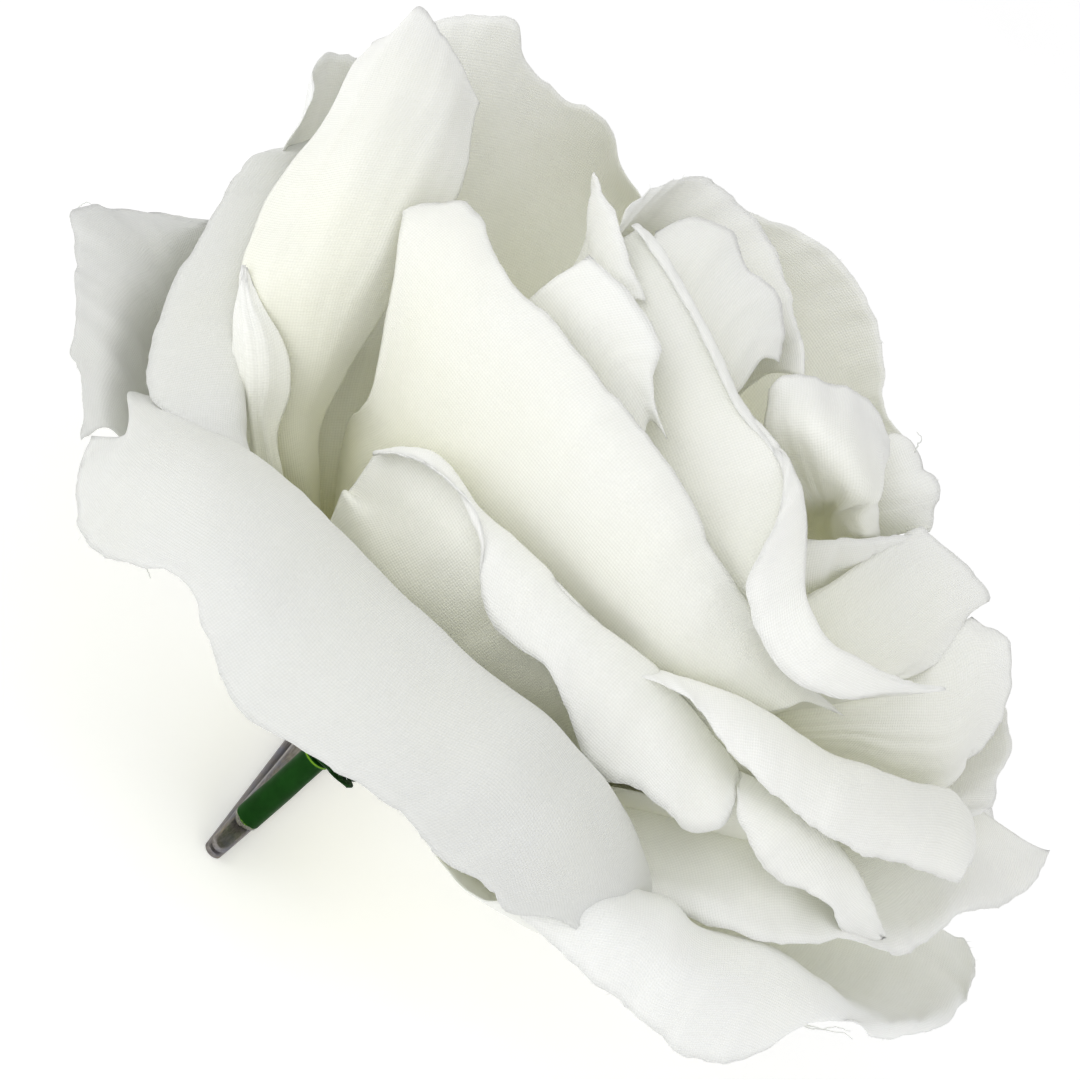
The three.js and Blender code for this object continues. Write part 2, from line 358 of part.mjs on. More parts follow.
    [[-44.5, 20.9, 57.7], [-45.3, 17.1, 58.4], [-45.9, 13.3, 58.9], [-46.1, 9.3, 59.0], [-46.5, 5.4, 58.7], [-46.8, 1.4, 58.0], [-46.5, -2.6, 57.3]],
    [[-47.2, 23.1, 65.7], [-48.8, 18.9, 68.0], [-50.7, 14.5, 69.6], [-53.2, 10.1, 69.8], [-53.8, 5.4, 69.0], [-51.2, 1.4, 67.9], [-49.7, -1.8, 64.3]],
  ],
  // second ring, back right
  petal_second_back_right: [
    [[5.8, 3.0, 22.1], [5.3, 3.7, 22.1], [4.8, 4.4, 22.1], [4.2, 5.0, 22.1], [3.5, 5.5, 22.1], [2.7, 5.9, 22.1], [2.0, 6.2, 22.1]],
    [[14.6, 6.4, 28.4], [13.4, 8.5, 28.4], [12.0, 10.5, 28.4], [10.3, 12.2, 28.4], [8.3, 13.6, 28.4], [6.1, 14.7, 28.4], [3.8, 15.5, 28.4]],
    [[22.7, 9.4, 35.6], [20.9, 12.9, 35.6], [18.6, 16.0, 35.6], [15.8, 18.8, 35.6], [12.6, 21.1, 35.6], [9.0, 22.8, 35.6], [5.3, 24.0, 35.6]],
    [[29.9, 12.0, 44.0], [27.5, 16.7, 44.0], [24.4, 21.1, 44.0], [20.6, 24.8, 44.0], [16.2, 27.9, 44.0], [11.3, 30.2, 44.0], [6.2, 31.6, 44.0]],
    [[35.4, 13.9, 53.8], [32.5, 19.6, 53.8], [28.7, 24.8, 53.8], [24.1, 29.3, 53.8], [18.9, 33.0, 53.8], [13.0, 35.7, 53.8], [6.8, 37.4, 53.8]],
    [[39.1, 15.4, 64.1], [36.0, 21.8, 64.1], [31.8, 27.5, 64.1], [26.8, 32.5, 64.1], [20.9, 36.5, 64.1], [14.5, 39.5, 64.1], [7.7, 41.4, 64.1]],
    [[46.0, 22.0, 59.1], [42.4, 28.4, 59.1], [37.8, 34.2, 59.1], [32.4, 39.4, 59.1], [26.4, 43.6, 59.1], [19.8, 47.0, 59.1], [12.8, 49.4, 59.1]],
  ],
  // second ring, back
  petal_second_back: [
    [[0.3, 6.5, 22.1], [-0.6, 6.5, 22.1], [-1.5, 6.3, 22.1], [-2.4, 6.0, 22.1], [-3.2, 5.7, 22.1], [-4.0, 5.2, 22.1], [-4.6, 4.6, 22.1]],
    [[1.5, 15.8, 28.3], [-1.0, 15.9, 28.3], [-3.5, 15.5, 28.3], [-5.8, 14.8, 28.3], [-8.1, 13.7, 28.3], [-10.1, 12.3, 28.3], [-11.9, 10.6, 28.3]],
    [[2.8, 24.2, 35.5], [-1.2, 24.4, 35.5], [-5.1, 23.9, 35.5], [-8.9, 22.7, 35.5], [-12.5, 20.9, 35.5], [-15.7, 18.6, 35.5], [-18.6, 15.8, 35.5]],
    [[4.4, 31.3, 44.1], [-1.0, 31.6, 44.1], [-6.4, 31.0, 44.1], [-11.6, 29.5, 44.1], [-16.4, 27.1, 44.1], [-20.8, 23.9, 44.1], [-24.6, 20.0, 44.1]],
    [[5.4, 36.6, 54.1], [-1.0, 37.0, 54.1], [-7.5, 36.3, 54.1], [-13.6, 34.4, 54.1], [-19.4, 31.5, 54.1], [-24.6, 27.7, 54.1], [-29.1, 23.0, 54.1]],
    [[5.4, 40.8, 64.2], [-1.7, 41.1, 64.2], [-8.7, 40.2, 64.2], [-15.4, 38.2, 64.2], [-21.7, 35.0, 64.2], [-27.3, 30.8, 64.2], [-32.2, 25.7, 64.2]],
    [[2.2, 50.0, 60.1], [-5.1, 49.7, 60.1], [-12.2, 48.5, 60.1], [-19.1, 46.2, 60.1], [-25.6, 42.9, 60.1], [-31.6, 38.8, 60.1], [-36.9, 33.8, 60.1]],
  ],
  // third ring, left, narrow
  petal_third_left: [
    [[-5.8, -2.8, 22.1], [-5.6, -3.2, 22.1], [-5.3, -3.5, 22.1], [-5.1, -3.9, 22.1], [-4.8, -4.2, 22.1], [-4.5, -4.6, 22.1], [-4.2, -4.9, 22.1]],
    [[-12.2, -10.2, 27.9], [-11.6, -10.2, 27.8], [-11.0, -10.3, 27.8], [-10.5, -10.4, 28.0], [-10.0, -10.5, 28.4], [-9.5, -10.7, 28.9], [-9.1, -10.8, 29.5]],
    [[-18.5, -16.8, 34.1], [-17.6, -16.7, 34.0], [-16.7, -16.6, 34.1], [-15.9, -16.5, 34.4], [-15.3, -16.4, 35.0], [-14.7, -16.4, 35.8], [-14.2, -16.3, 36.8]],
    [[-24.4, -21.9, 41.0], [-23.4, -21.9, 41.1], [-22.5, -21.9, 41.4], [-21.6, -21.8, 41.7], [-20.8, -21.6, 42.2], [-20.1, -21.4, 42.8], [-19.4, -21.0, 43.5]],
    [[-29.8, -25.0, 48.7], [-29.1, -25.6, 49.4], [-28.4, -26.0, 50.0], [-27.6, -26.1, 50.3], [-26.8, -25.9, 50.3], [-25.9, -25.4, 50.0], [-25.0, -24.7, 49.7]],
    [[-36.7, -25.7, 54.9], [-36.1, -26.7, 56.1], [-35.4, -27.5, 57.1], [-34.7, -27.8, 57.8], [-33.8, -27.3, 58.2], [-32.8, -26.3, 58.3], [-31.8, -25.0, 58.2]],
    [[-42.8, -21.9, 60.7], [-42.8, -21.9, 60.9], [-42.9, -22.0, 61.1], [-42.9, -22.1, 61.2], [-42.8, -22.0, 61.2], [-42.6, -22.0, 61.2], [-42.4, -21.9, 61.1]],
  ],
  // third ring, short sliver at the front left
  petal_third_front_left: [
    [[-4.8, -3.7, 23.1], [-4.6, -3.8, 23.1], [-4.4, -4.0, 23.1], [-4.3, -4.2, 23.1], [-4.1, -4.4, 23.1], [-3.9, -4.5, 23.1], [-3.7, -4.7, 23.1]],
    [[-10.9, -4.1, 28.8], [-10.5, -4.4, 29.0], [-10.2, -4.6, 29.2], [-9.8, -4.7, 29.4], [-9.4, -4.7, 29.6], [-9.0, -4.7, 29.8], [-8.6, -4.6, 30.0]],
    [[-16.7, -5.5, 34.5], [-16.1, -5.7, 34.9], [-15.5, -5.8, 35.4], [-14.9, -5.8, 35.8], [-14.3, -5.6, 36.2], [-13.8, -5.4, 36.7], [-13.3, -5.1, 37.1]],
    [[-21.6, -8.7, 40.1], [-20.7, -8.6, 40.8], [-19.9, -8.4, 41.5], [-19.2, -8.1, 42.3], [-18.6, -7.7, 43.0], [-18.1, -7.2, 43.8], [-17.6, -6.6, 44.6]],
    [[-26.1, -11.3, 46.0], [-25.4, -10.8, 47.1], [-24.6, -10.3, 48.1], [-23.9, -9.7, 49.1], [-23.2, -8.9, 50.0], [-22.6, -8.0, 50.9], [-22.0, -7.1, 51.8]],
    [[-30.2, -12.0, 53.1], [-29.5, -11.5, 54.3], [-28.8, -10.9, 55.4], [-28.2, -10.1, 56.4], [-27.5, -9.2, 57.3], [-26.9, -8.1, 58.1], [-26.3, -7.0, 58.8]],
    [[-33.2, -9.6, 61.0], [-32.8, -9.0, 61.8], [-32.3, -8.5, 62.5], [-31.9, -7.9, 63.3], [-31.5, -7.2, 63.9], [-31.2, -6.4, 64.6], [-30.9, -5.7, 65.2]],
  ],
  // third ring, front right, with a hanging lobe
  petal_third_front_right: [
    [[3.2, -5.3, 22.6], [3.8, -4.9, 22.6], [4.3, -4.5, 22.6], [4.7, -4.0, 22.6], [5.1, -3.5, 22.6], [5.4, -3.0, 22.6], [5.7, -2.4, 22.6]],
    [[7.1, -13.6, 29.2], [8.7, -12.6, 29.2], [10.2, -11.5, 29.2], [11.6, -10.1, 29.2], [12.7, -8.6, 29.2], [13.7, -6.9, 29.2], [14.5, -5.2, 29.2]],
    [[10.9, -20.8, 36.7], [13.4, -19.3, 36.7], [15.8, -17.4, 36.7], [17.9, -15.2, 36.7], [19.7, -12.8, 36.7], [21.1, -10.2, 36.7], [22.3, -7.4, 36.7]],
    [[14.3, -26.9, 46.0], [17.5, -24.6, 46.0], [20.4, -21.9, 45.9], [22.9, -19.0, 45.9], [25.1, -15.7, 46.0], [26.8, -12.1, 46.1], [28.0, -8.3, 46.2]],
    [[19.4, -29.6, 54.4], [23.0, -27.4, 54.4], [26.2, -24.9, 54.6], [29.1, -21.8, 54.7], [31.7, -18.5, 54.8], [33.8, -15.0, 54.8], [35.6, -11.3, 54.6]],
    [[26.7, -28.3, 60.9], [30.4, -27.4, 61.4], [33.9, -26.1, 61.9], [37.1, -23.9, 62.3], [40.2, -21.5, 62.2], [43.3, -19.3, 61.5], [46.2, -17.1, 60.5]],
    [[28.4, -31.3, 66.9], [32.6, -33.0, 64.5], [37.2, -31.1, 62.8], [41.3, -27.7, 62.5], [45.2, -24.3, 61.5], [48.8, -21.2, 59.1], [51.6, -16.8, 59.9]],
  ],
  // third ring, right
  petal_third_right: [
    [[6.2, 0.3, 23.6], [6.1, 0.9, 23.6], [6.0, 1.5, 23.6], [5.8, 2.1, 23.6], [5.6, 2.7, 23.6], [5.3, 3.3, 23.6], [4.9, 3.8, 23.6]],
    [[14.4, -0.8, 30.8], [14.4, 0.9, 30.8], [14.2, 2.5, 30.8], [13.8, 4.1, 30.8], [13.2, 5.7, 30.8], [12.5, 7.2, 30.8], [11.6, 8.6, 30.8]],
    [[22.6, -1.7, 37.9], [22.6, 0.9, 37.9], [22.4, 3.5, 37.9], [21.8, 6.1, 37.9], [20.9, 8.6, 37.9], [19.8, 11.0, 37.9], [18.4, 13.2, 37.9]],
    [[31.1, -2.6, 44.9], [31.1, 1.0, 44.9], [30.8, 4.6, 44.9], [30.0, 8.1, 44.9], [28.9, 11.5, 44.9], [27.4, 14.8, 44.8], [25.5, 17.9, 44.7]],
    [[39.1, -3.1, 52.2], [39.2, 1.2, 52.2], [38.8, 5.6, 52.2], [37.9, 9.9, 52.2], [36.6, 14.0, 52.2], [34.8, 18.0, 52.1], [32.6, 21.8, 52.1]],
    [[44.7, -4.1, 61.4], [44.8, 0.7, 61.1], [45.1, 5.4, 61.0], [44.5, 10.1, 60.7], [43.5, 14.8, 60.8], [42.0, 19.2, 61.5], [40.0, 23.4, 62.5]],
    [[50.3, 2.8, 66.7], [51.7, 6.6, 67.5], [50.7, 10.2, 68.1], [49.7, 13.8, 69.5], [47.8, 17.0, 70.5], [45.1, 19.8, 71.1], [42.0, 22.2, 71.7]],
  ],
  // third ring, front, with a wavy turned-down lip
  petal_third_front: [
    [[-2.7, -6.0, 22.6], [-1.7, -6.4, 22.6], [-0.6, -6.6, 22.6], [0.5, -6.6, 22.6], [1.5, -6.4, 22.6], [2.6, -6.1, 22.6], [3.5, -5.6, 22.6]],
    [[-7.6, -12.9, 29.1], [-4.9, -14.1, 29.1], [-2.2, -14.8, 29.1], [0.7, -15.0, 29.1], [3.6, -14.5, 29.1], [6.3, -13.6, 29.1], [8.8, -12.1, 29.1]],
    [[-12.0, -19.1, 36.3], [-7.9, -21.1, 36.3], [-3.5, -22.2, 36.3], [1.0, -22.5, 36.3], [5.5, -21.8, 36.3], [9.8, -20.3, 36.3], [13.6, -17.9, 36.3]],
    [[-16.2, -24.5, 46.1], [-10.6, -27.2, 45.0], [-4.8, -28.6, 44.4], [1.1, -28.7, 44.3], [6.9, -27.7, 44.3], [12.3, -25.6, 44.6], [17.3, -22.2, 45.2]],
    [[-19.2, -28.0, 54.8], [-12.7, -31.4, 54.2], [-5.7, -33.2, 53.9], [1.4, -33.6, 53.9], [8.4, -32.4, 53.9], [15.1, -29.8, 54.0], [21.0, -25.8, 54.3]],
    [[-19.3, -27.3, 57.3], [-14.0, -30.9, 63.5], [-6.2, -34.2, 66.0], [2.4, -35.6, 67.0], [11.3, -35.0, 66.9], [19.6, -32.4, 65.6], [26.9, -28.7, 62.1]],
    [[-20.2, -29.6, 61.2], [-14.0, -34.2, 68.3], [-5.0, -38.3, 66.2], [4.5, -40.2, 64.6], [14.1, -39.0, 61.2], [23.9, -36.5, 61.7], [29.3, -31.8, 65.8]],
  ],
  // fourth ring, front right, with a turned-down lip
  petal_fourth_front_right: [
    [[1.4, -5.6, 24.1], [2.3, -5.3, 24.1], [3.1, -4.9, 24.1], [3.9, -4.3, 24.1], [4.6, -3.6, 24.1], [5.1, -2.7, 24.1], [5.5, -1.8, 24.1]],
    [[2.9, -14.5, 31.6], [5.5, -13.7, 31.6], [7.9, -12.5, 31.6], [10.0, -10.9, 31.6], [11.8, -8.9, 31.6], [13.2, -6.7, 31.6], [14.2, -4.2, 31.6]],
    [[4.5, -22.1, 40.1], [8.6, -20.8, 40.1], [12.3, -18.9, 40.1], [15.6, -16.2, 40.1], [18.3, -13.0, 40.1], [20.4, -9.3, 40.1], [21.8, -5.3, 40.1]],
    [[6.1, -28.1, 50.6], [11.3, -26.3, 50.4], [16.0, -23.4, 50.4], [20.0, -19.6, 50.3], [23.3, -15.2, 50.3], [25.6, -10.2, 50.4], [26.9, -4.8, 50.6]],
    [[9.2, -31.2, 58.8], [15.6, -29.3, 59.1], [21.6, -26.4, 59.2], [27.0, -22.4, 59.5], [31.4, -17.5, 59.6], [34.8, -11.7, 59.4], [37.0, -5.4, 59.0]],
    [[11.9, -32.3, 65.5], [19.6, -30.5, 68.4], [27.3, -27.3, 69.3], [34.4, -22.9, 69.7], [39.9, -16.6, 69.6], [44.3, -9.7, 68.2], [48.1, -2.8, 65.4]],
    [[12.4, -35.4, 68.7], [22.3, -35.7, 71.4], [32.6, -33.1, 70.3], [41.1, -26.8, 68.9], [47.1, -18.1, 67.8], [52.5, -9.0, 66.1], [50.8, 0.8, 67.0]],
  ],
  // fourth ring, tall pointed petal on the left
  petal_fourth_left: [
    [[-5.7, -1.8, 23.6], [-5.6, -2.2, 23.6], [-5.4, -2.5, 23.6], [-5.3, -2.9, 23.6], [-5.1, -3.2, 23.6], [-4.9, -3.5, 23.6], [-4.6, -3.8, 23.6]],
    [[-15.1, -8.8, 33.2], [-14.8, -9.8, 34.0], [-14.2, -10.3, 34.6], [-13.2, -10.4, 34.9], [-12.6, -10.1, 34.7], [-12.2, -9.4, 34.2], [-11.8, -8.6, 33.5]],
    [[-24.5, -17.2, 43.6], [-23.5, -17.9, 44.4], [-22.4, -18.0, 45.0], [-21.1, -17.5, 45.2], [-20.3, -16.6, 45.1], [-19.7, -15.3, 44.6], [-19.4, -13.9, 43.9]],
    [[-35.1, -23.0, 54.0], [-33.4, -23.3, 54.8], [-31.6, -23.1, 55.5], [-29.9, -22.4, 55.9], [-28.6, -21.2, 56.0], [-27.6, -19.6, 55.7], [-26.8, -17.8, 55.3]],
    [[-45.2, -17.3, 62.1], [-43.1, -19.4, 64.3], [-40.7, -20.8, 66.6], [-37.9, -21.0, 68.6], [-34.7, -19.3, 69.5], [-32.3, -16.7, 69.3], [-30.6, -13.6, 68.2]],
    [[-49.1, -4.5, 71.6], [-47.5, -7.6, 73.3], [-45.5, -10.1, 75.4], [-43.1, -10.9, 77.7], [-39.9, -9.1, 78.8], [-37.1, -6.8, 78.6], [-34.5, -4.1, 77.6]],
    [[-51.3, 4.2, 76.2], [-50.8, 6.2, 78.7], [-50.9, 8.2, 81.4], [-48.2, 6.9, 81.9], [-45.1, 5.8, 81.8], [-42.0, 5.4, 81.0], [-39.0, 5.7, 79.8]],
  ],
  // fourth ring, right
  petal_fourth_right: [
    [[5.3, -1.7, 25.1], [5.5, -1.0, 25.1], [5.6, -0.2, 25.1], [5.6, 0.5, 25.1], [5.5, 1.2, 25.1], [5.3, 1.9, 25.1], [5.0, 2.6, 25.1]],
    [[14.2, -6.2, 34.6], [15.0, -3.9, 34.6], [15.4, -1.5, 34.6], [15.6, 0.9, 34.7], [15.3, 3.3, 34.7], [14.7, 5.7, 34.8], [13.8, 7.9, 34.8]],
    [[20.5, -10.6, 45.6], [21.6, -7.9, 45.5], [22.3, -5.1, 45.3], [22.5, -2.2, 45.2], [22.4, 0.6, 45.1], [21.8, 3.4, 45.1], [20.8, 6.1, 45.0]],
    [[22.9, -16.2, 59.4], [23.9, -14.7, 58.6], [24.7, -13.1, 58.0], [25.1, -11.5, 57.5], [25.2, -9.9, 57.1], [25.0, -8.3, 56.9], [24.6, -6.8, 56.7]],
    [[26.6, -14.7, 70.3], [27.6, -15.2, 69.6], [28.4, -15.5, 68.8], [29.3, -15.4, 68.0], [30.0, -15.0, 67.1], [30.7, -14.4, 66.2], [31.3, -13.6, 65.3]],
    [[32.5, -1.8, 76.4], [33.7, -4.8, 76.4], [35.2, -7.2, 75.7], [37.2, -8.4, 74.0], [39.1, -8.5, 71.9], [40.8, -7.4, 69.7], [42.4, -5.8, 67.4]],
    [[34.3, 3.0, 82.4], [38.2, 3.3, 83.8], [41.5, 3.5, 81.5], [44.0, 3.9, 78.0], [45.7, 4.6, 74.1], [45.9, 4.4, 69.8], [44.2, 2.1, 67.2]],
  ],
  // fourth ring, tall petal at the back left
  petal_fourth_back_left: [
    [[-3.2, 4.1, 25.1], [-3.7, 3.7, 25.1], [-4.1, 3.2, 25.1], [-4.5, 2.6, 25.1], [-4.8, 2.0, 25.1], [-5.0, 1.3, 25.1], [-5.2, 0.7, 25.1]],
    [[-6.5, 11.4, 33.3], [-8.3, 10.2, 33.3], [-9.9, 8.6, 33.3], [-11.2, 6.9, 33.3], [-12.2, 4.9, 33.3], [-12.8, 2.8, 33.3], [-13.1, 0.6, 33.3]],
    [[-9.5, 18.3, 41.9], [-12.5, 16.4, 41.9], [-15.2, 14.0, 41.9], [-17.4, 11.1, 41.9], [-19.1, 7.9, 41.9], [-20.2, 4.5, 41.9], [-20.6, 0.9, 41.9]],
    [[-11.9, 24.9, 51.0], [-16.2, 22.4, 51.0], [-19.9, 19.1, 51.0], [-23.0, 15.3, 51.0], [-25.3, 11.0, 51.0], [-26.9, 6.3, 51.0], [-27.6, 1.4, 51.0]],
    [[-15.1, 31.2, 60.4], [-20.0, 28.1, 60.3], [-24.4, 24.3, 60.2], [-28.0, 19.8, 60.3], [-30.9, 14.7, 60.2], [-32.8, 9.2, 60.2], [-33.8, 3.5, 60.3]],
    [[-18.5, 35.4, 69.6], [-23.7, 32.3, 69.6], [-28.4, 28.4, 69.7], [-32.4, 23.9, 69.7], [-35.7, 18.8, 69.8], [-38.2, 13.4, 69.8], [-39.8, 7.6, 69.6]],
    [[-17.3, 27.8, 75.9], [-24.0, 28.0, 76.8], [-29.7, 26.2, 79.9], [-35.9, 23.7, 79.1], [-40.9, 20.0, 81.7], [-45.9, 16.9, 82.0], [-49.5, 13.2, 77.5]],
  ],
  // large smooth petal across the front of the cup
  petal_cup_front: [
    [[-5.2, -2.1, 25.6], [-4.2, -3.7, 25.6], [-2.7, -4.9, 25.6], [-0.9, -5.5, 25.6], [1.0, -5.5, 25.6], [2.7, -4.8, 25.6], [4.3, -3.6, 25.6]],
    [[-12.2, -5.4, 33.8], [-9.8, -9.1, 33.8], [-6.4, -11.7, 33.8], [-2.3, -13.1, 33.8], [2.1, -13.2, 33.8], [6.2, -11.8, 33.8], [9.7, -9.2, 33.8]],
    [[-18.3, -9.4, 42.7], [-14.6, -14.6, 42.6], [-9.4, -18.4, 42.5], [-3.3, -20.4, 42.4], [3.1, -20.4, 42.4], [9.2, -18.4, 42.4], [14.4, -14.6, 42.4]],
    [[-23.2, -14.1, 52.0], [-18.2, -20.3, 51.8], [-11.5, -24.8, 51.7], [-3.8, -27.0, 51.6], [4.2, -26.9, 51.5], [11.8, -24.4, 51.6], [18.3, -19.8, 51.5]],
    [[-24.2, -20.3, 59.3], [-17.8, -25.7, 60.3], [-10.3, -29.2, 61.5], [-2.1, -30.8, 62.6], [6.3, -30.8, 63.0], [14.6, -28.9, 62.8], [21.8, -24.7, 63.5]],
    [[-29.8, -20.2, 68.9], [-21.8, -25.9, 71.2], [-12.9, -29.8, 73.3], [-3.2, -31.9, 73.8], [6.8, -32.4, 73.3], [16.6, -30.6, 72.2], [25.6, -26.2, 72.9]],
    [[-35.9, -14.9, 75.2], [-27.2, -17.5, 80.8], [-16.1, -24.0, 82.9], [-3.6, -27.6, 83.8], [9.1, -28.5, 81.3], [21.2, -25.4, 77.8], [31.7, -18.4, 74.5]],
  ],
  // cup, small petal at the front left
  petal_cup_front_left: [
    [[-4.0, -3.3, 26.1], [-3.6, -3.8, 26.1], [-3.1, -4.2, 26.1], [-2.5, -4.5, 26.1], [-1.9, -4.8, 26.1], [-1.3, -5.0, 26.1], [-0.7, -5.2, 26.1]],
    [[-8.2, -8.3, 35.3], [-7.3, -9.2, 35.3], [-6.4, -10.0, 35.3], [-5.3, -10.6, 35.3], [-4.2, -11.2, 35.3], [-3.0, -11.5, 35.3], [-1.8, -11.8, 35.3]],
    [[-12.4, -12.4, 44.8], [-11.1, -13.7, 44.8], [-9.6, -14.9, 44.8], [-8.1, -15.8, 44.8], [-6.4, -16.6, 44.8], [-4.6, -17.2, 44.8], [-2.8, -17.8, 44.8]],
    [[-17.0, -14.8, 55.1], [-15.1, -16.6, 55.1], [-13.1, -18.3, 55.1], [-11.0, -19.7, 55.1], [-8.7, -20.9, 55.0], [-6.3, -21.9, 55.0], [-3.8, -22.9, 55.0]],
    [[-20.2, -16.8, 65.7], [-17.7, -18.7, 65.7], [-15.2, -20.6, 65.7], [-12.6, -22.2, 65.7], [-9.8, -23.6, 65.8], [-6.8, -24.7, 65.9], [-3.8, -25.7, 66.0]],
    [[-20.9, -19.3, 76.6], [-17.8, -20.6, 76.5], [-14.7, -21.9, 76.6], [-11.6, -23.3, 76.8], [-8.5, -24.4, 77.1], [-5.2, -25.1, 77.7], [-1.9, -25.4, 78.5]],
    [[-20.1, -15.6, 87.0], [-17.0, -17.2, 88.1], [-13.6, -18.6, 88.6], [-10.1, -19.8, 88.6], [-7.5, -21.3, 86.6], [-4.9, -22.9, 84.7], [-1.6, -24.5, 83.7]],
  ],
  // cup, narrow petal at the left
  petal_cup_left: [
    [[-4.9, -0.2, 26.1], [-4.8, -0.7, 26.1], [-4.8, -1.2, 26.1], [-4.6, -1.7, 26.1], [-4.4, -2.1, 26.1], [-4.2, -2.6, 26.1], [-3.9, -3.0, 26.1]],
    [[-11.0, -4.1, 35.3], [-11.1, -3.7, 35.4], [-11.2, -3.3, 35.4], [-11.3, -2.9, 35.4], [-11.3, -2.5, 35.4], [-11.4, -2.1, 35.4], [-11.4, -1.6, 35.4]],
    [[-15.4, -7.4, 45.2], [-15.6, -6.3, 45.2], [-15.9, -5.3, 45.2], [-16.2, -4.3, 45.2], [-16.5, -3.3, 45.2], [-16.8, -2.3, 45.2], [-17.1, -1.3, 45.2]],
    [[-16.0, -8.9, 56.6], [-16.4, -8.1, 56.5], [-16.7, -7.3, 56.4], [-17.2, -6.6, 56.3], [-17.5, -5.9, 56.1], [-17.9, -5.1, 55.8], [-18.3, -4.3, 55.4]],
    [[-14.5, -9.5, 68.9], [-14.9, -9.3, 68.6], [-15.4, -9.2, 68.4], [-15.9, -9.2, 68.1], [-16.3, -9.0, 67.6], [-16.8, -8.8, 66.9], [-17.2, -8.5, 66.1]],
    [[-14.1, -11.4, 79.6], [-15.1, -11.1, 79.4], [-16.1, -10.7, 79.2], [-17.0, -10.2, 78.9], [-17.8, -9.6, 78.6], [-18.4, -8.9, 78.2], [-19.1, -8.1, 77.7]],
    [[-12.8, -14.3, 87.4], [-15.7, -13.1, 88.1], [-18.2, -11.4, 88.8], [-20.5, -9.4, 89.3], [-22.5, -7.0, 88.8], [-24.3, -4.5, 88.1], [-25.9, -1.9, 87.4]],
  ],
  // cup, upright petal at the right
  petal_cup_right: [
    [[3.4, -3.1, 28.1], [3.8, -2.6, 28.1], [4.1, -2.1, 28.1], [4.3, -1.6, 28.1], [4.5, -1.0, 28.1], [4.6, -0.4, 28.1], [4.6, 0.2, 28.1]],
    [[9.1, -7.5, 38.0], [10.4, -6.3, 38.0], [11.6, -5.1, 37.9], [12.6, -3.8, 37.9], [13.3, -2.3, 37.8], [13.7, -0.6, 37.8], [14.0, 1.1, 37.8]],
    [[14.1, -11.0, 48.4], [16.2, -9.4, 48.4], [18.0, -7.8, 48.4], [19.6, -6.0, 48.5], [20.6, -3.8, 48.5], [21.3, -1.5, 48.5], [21.9, 1.0, 48.5]],
    [[18.5, -13.1, 59.2], [20.8, -11.4, 59.7], [22.9, -9.7, 60.0], [24.6, -7.7, 60.3], [25.8, -5.4, 60.6], [26.7, -2.9, 60.9], [27.4, -0.2, 61.1]],
    [[19.6, -17.2, 72.6], [22.2, -17.4, 72.0], [25.0, -16.4, 71.9], [27.4, -14.8, 72.1], [29.3, -12.6, 72.4], [30.7, -9.8, 72.9], [31.8, -6.8, 73.5]],
    [[21.0, -10.5, 80.3], [23.8, -11.6, 79.8], [26.5, -11.5, 79.6], [29.1, -10.0, 79.5], [31.4, -8.2, 79.2], [33.2, -6.0, 78.7], [35.0, -3.6, 78.1]],
    [[23.5, 1.0, 86.2], [26.1, 1.9, 86.2], [28.8, 2.8, 86.0], [31.4, 3.6, 85.7], [34.2, 4.5, 85.1], [34.2, 3.2, 82.9], [35.3, 2.0, 80.7]],
  ],
  // bud wrap, long petal across the front, rolled out on the right
  petal_bud_front: [
    [[-3.3, -3.6, 26.6], [-2.1, -4.4, 26.6], [-0.7, -4.8, 26.6], [0.7, -4.8, 26.6], [2.1, -4.4, 26.6], [3.3, -3.6, 26.6], [4.2, -2.5, 26.6]],
    [[-7.8, -6.4, 36.4], [-5.3, -8.8, 36.4], [-2.4, -10.7, 36.4], [1.0, -11.8, 36.4], [4.5, -11.7, 36.4], [7.6, -10.4, 36.4], [10.0, -7.7, 36.4]],
    [[-12.1, -8.4, 46.5], [-8.2, -12.5, 46.5], [-3.7, -15.6, 46.5], [1.6, -17.6, 46.5], [7.3, -17.8, 46.5], [12.3, -15.9, 46.5], [16.1, -11.6, 46.5]],
    [[-16.5, -9.0, 56.7], [-11.3, -15.2, 56.7], [-4.7, -19.5, 56.9], [3.1, -21.9, 57.1], [11.1, -22.3, 57.3], [18.4, -19.1, 57.4], [23.5, -12.8, 57.5]],
    [[-18.6, -9.7, 69.5], [-12.1, -16.6, 69.3], [-4.0, -21.6, 68.9], [4.7, -25.1, 68.1], [14.1, -25.2, 67.7], [22.6, -20.9, 67.3], [28.6, -13.5, 67.2]],
    [[-18.6, -9.8, 83.4], [-10.6, -16.0, 83.3], [-1.9, -21.0, 81.7], [6.6, -25.9, 79.3], [16.5, -26.3, 77.5], [25.7, -22.3, 76.5], [32.2, -14.7, 76.4]],
    [[-19.2, -8.4, 89.3], [-8.6, -14.8, 90.4], [3.1, -18.9, 88.8], [11.7, -26.1, 86.8], [18.9, -31.9, 80.0], [29.3, -26.5, 80.1], [36.1, -16.8, 83.9]],
  ],
  // bud wrap, back
  petal_bud_back: [
    [[2.4, 3.7, 27.6], [1.6, 4.1, 27.6], [0.8, 4.3, 27.6], [0.0, 4.4, 27.6], [-0.8, 4.3, 27.6], [-1.6, 4.1, 27.6], [-2.4, 3.7, 27.6]],
    [[-2.2, 6.7, 37.1], [-1.0, 7.8, 37.1], [0.2, 8.5, 37.1], [1.5, 8.6, 37.1], [2.8, 8.2, 37.1], [3.7, 7.1, 37.1], [4.4, 5.5, 37.1]],
    [[-6.3, 9.6, 46.8], [-3.4, 11.4, 46.8], [-0.5, 12.5, 46.8], [2.8, 12.7, 46.8], [6.0, 12.0, 46.8], [8.4, 10.1, 46.8], [10.4, 7.2, 46.8]],
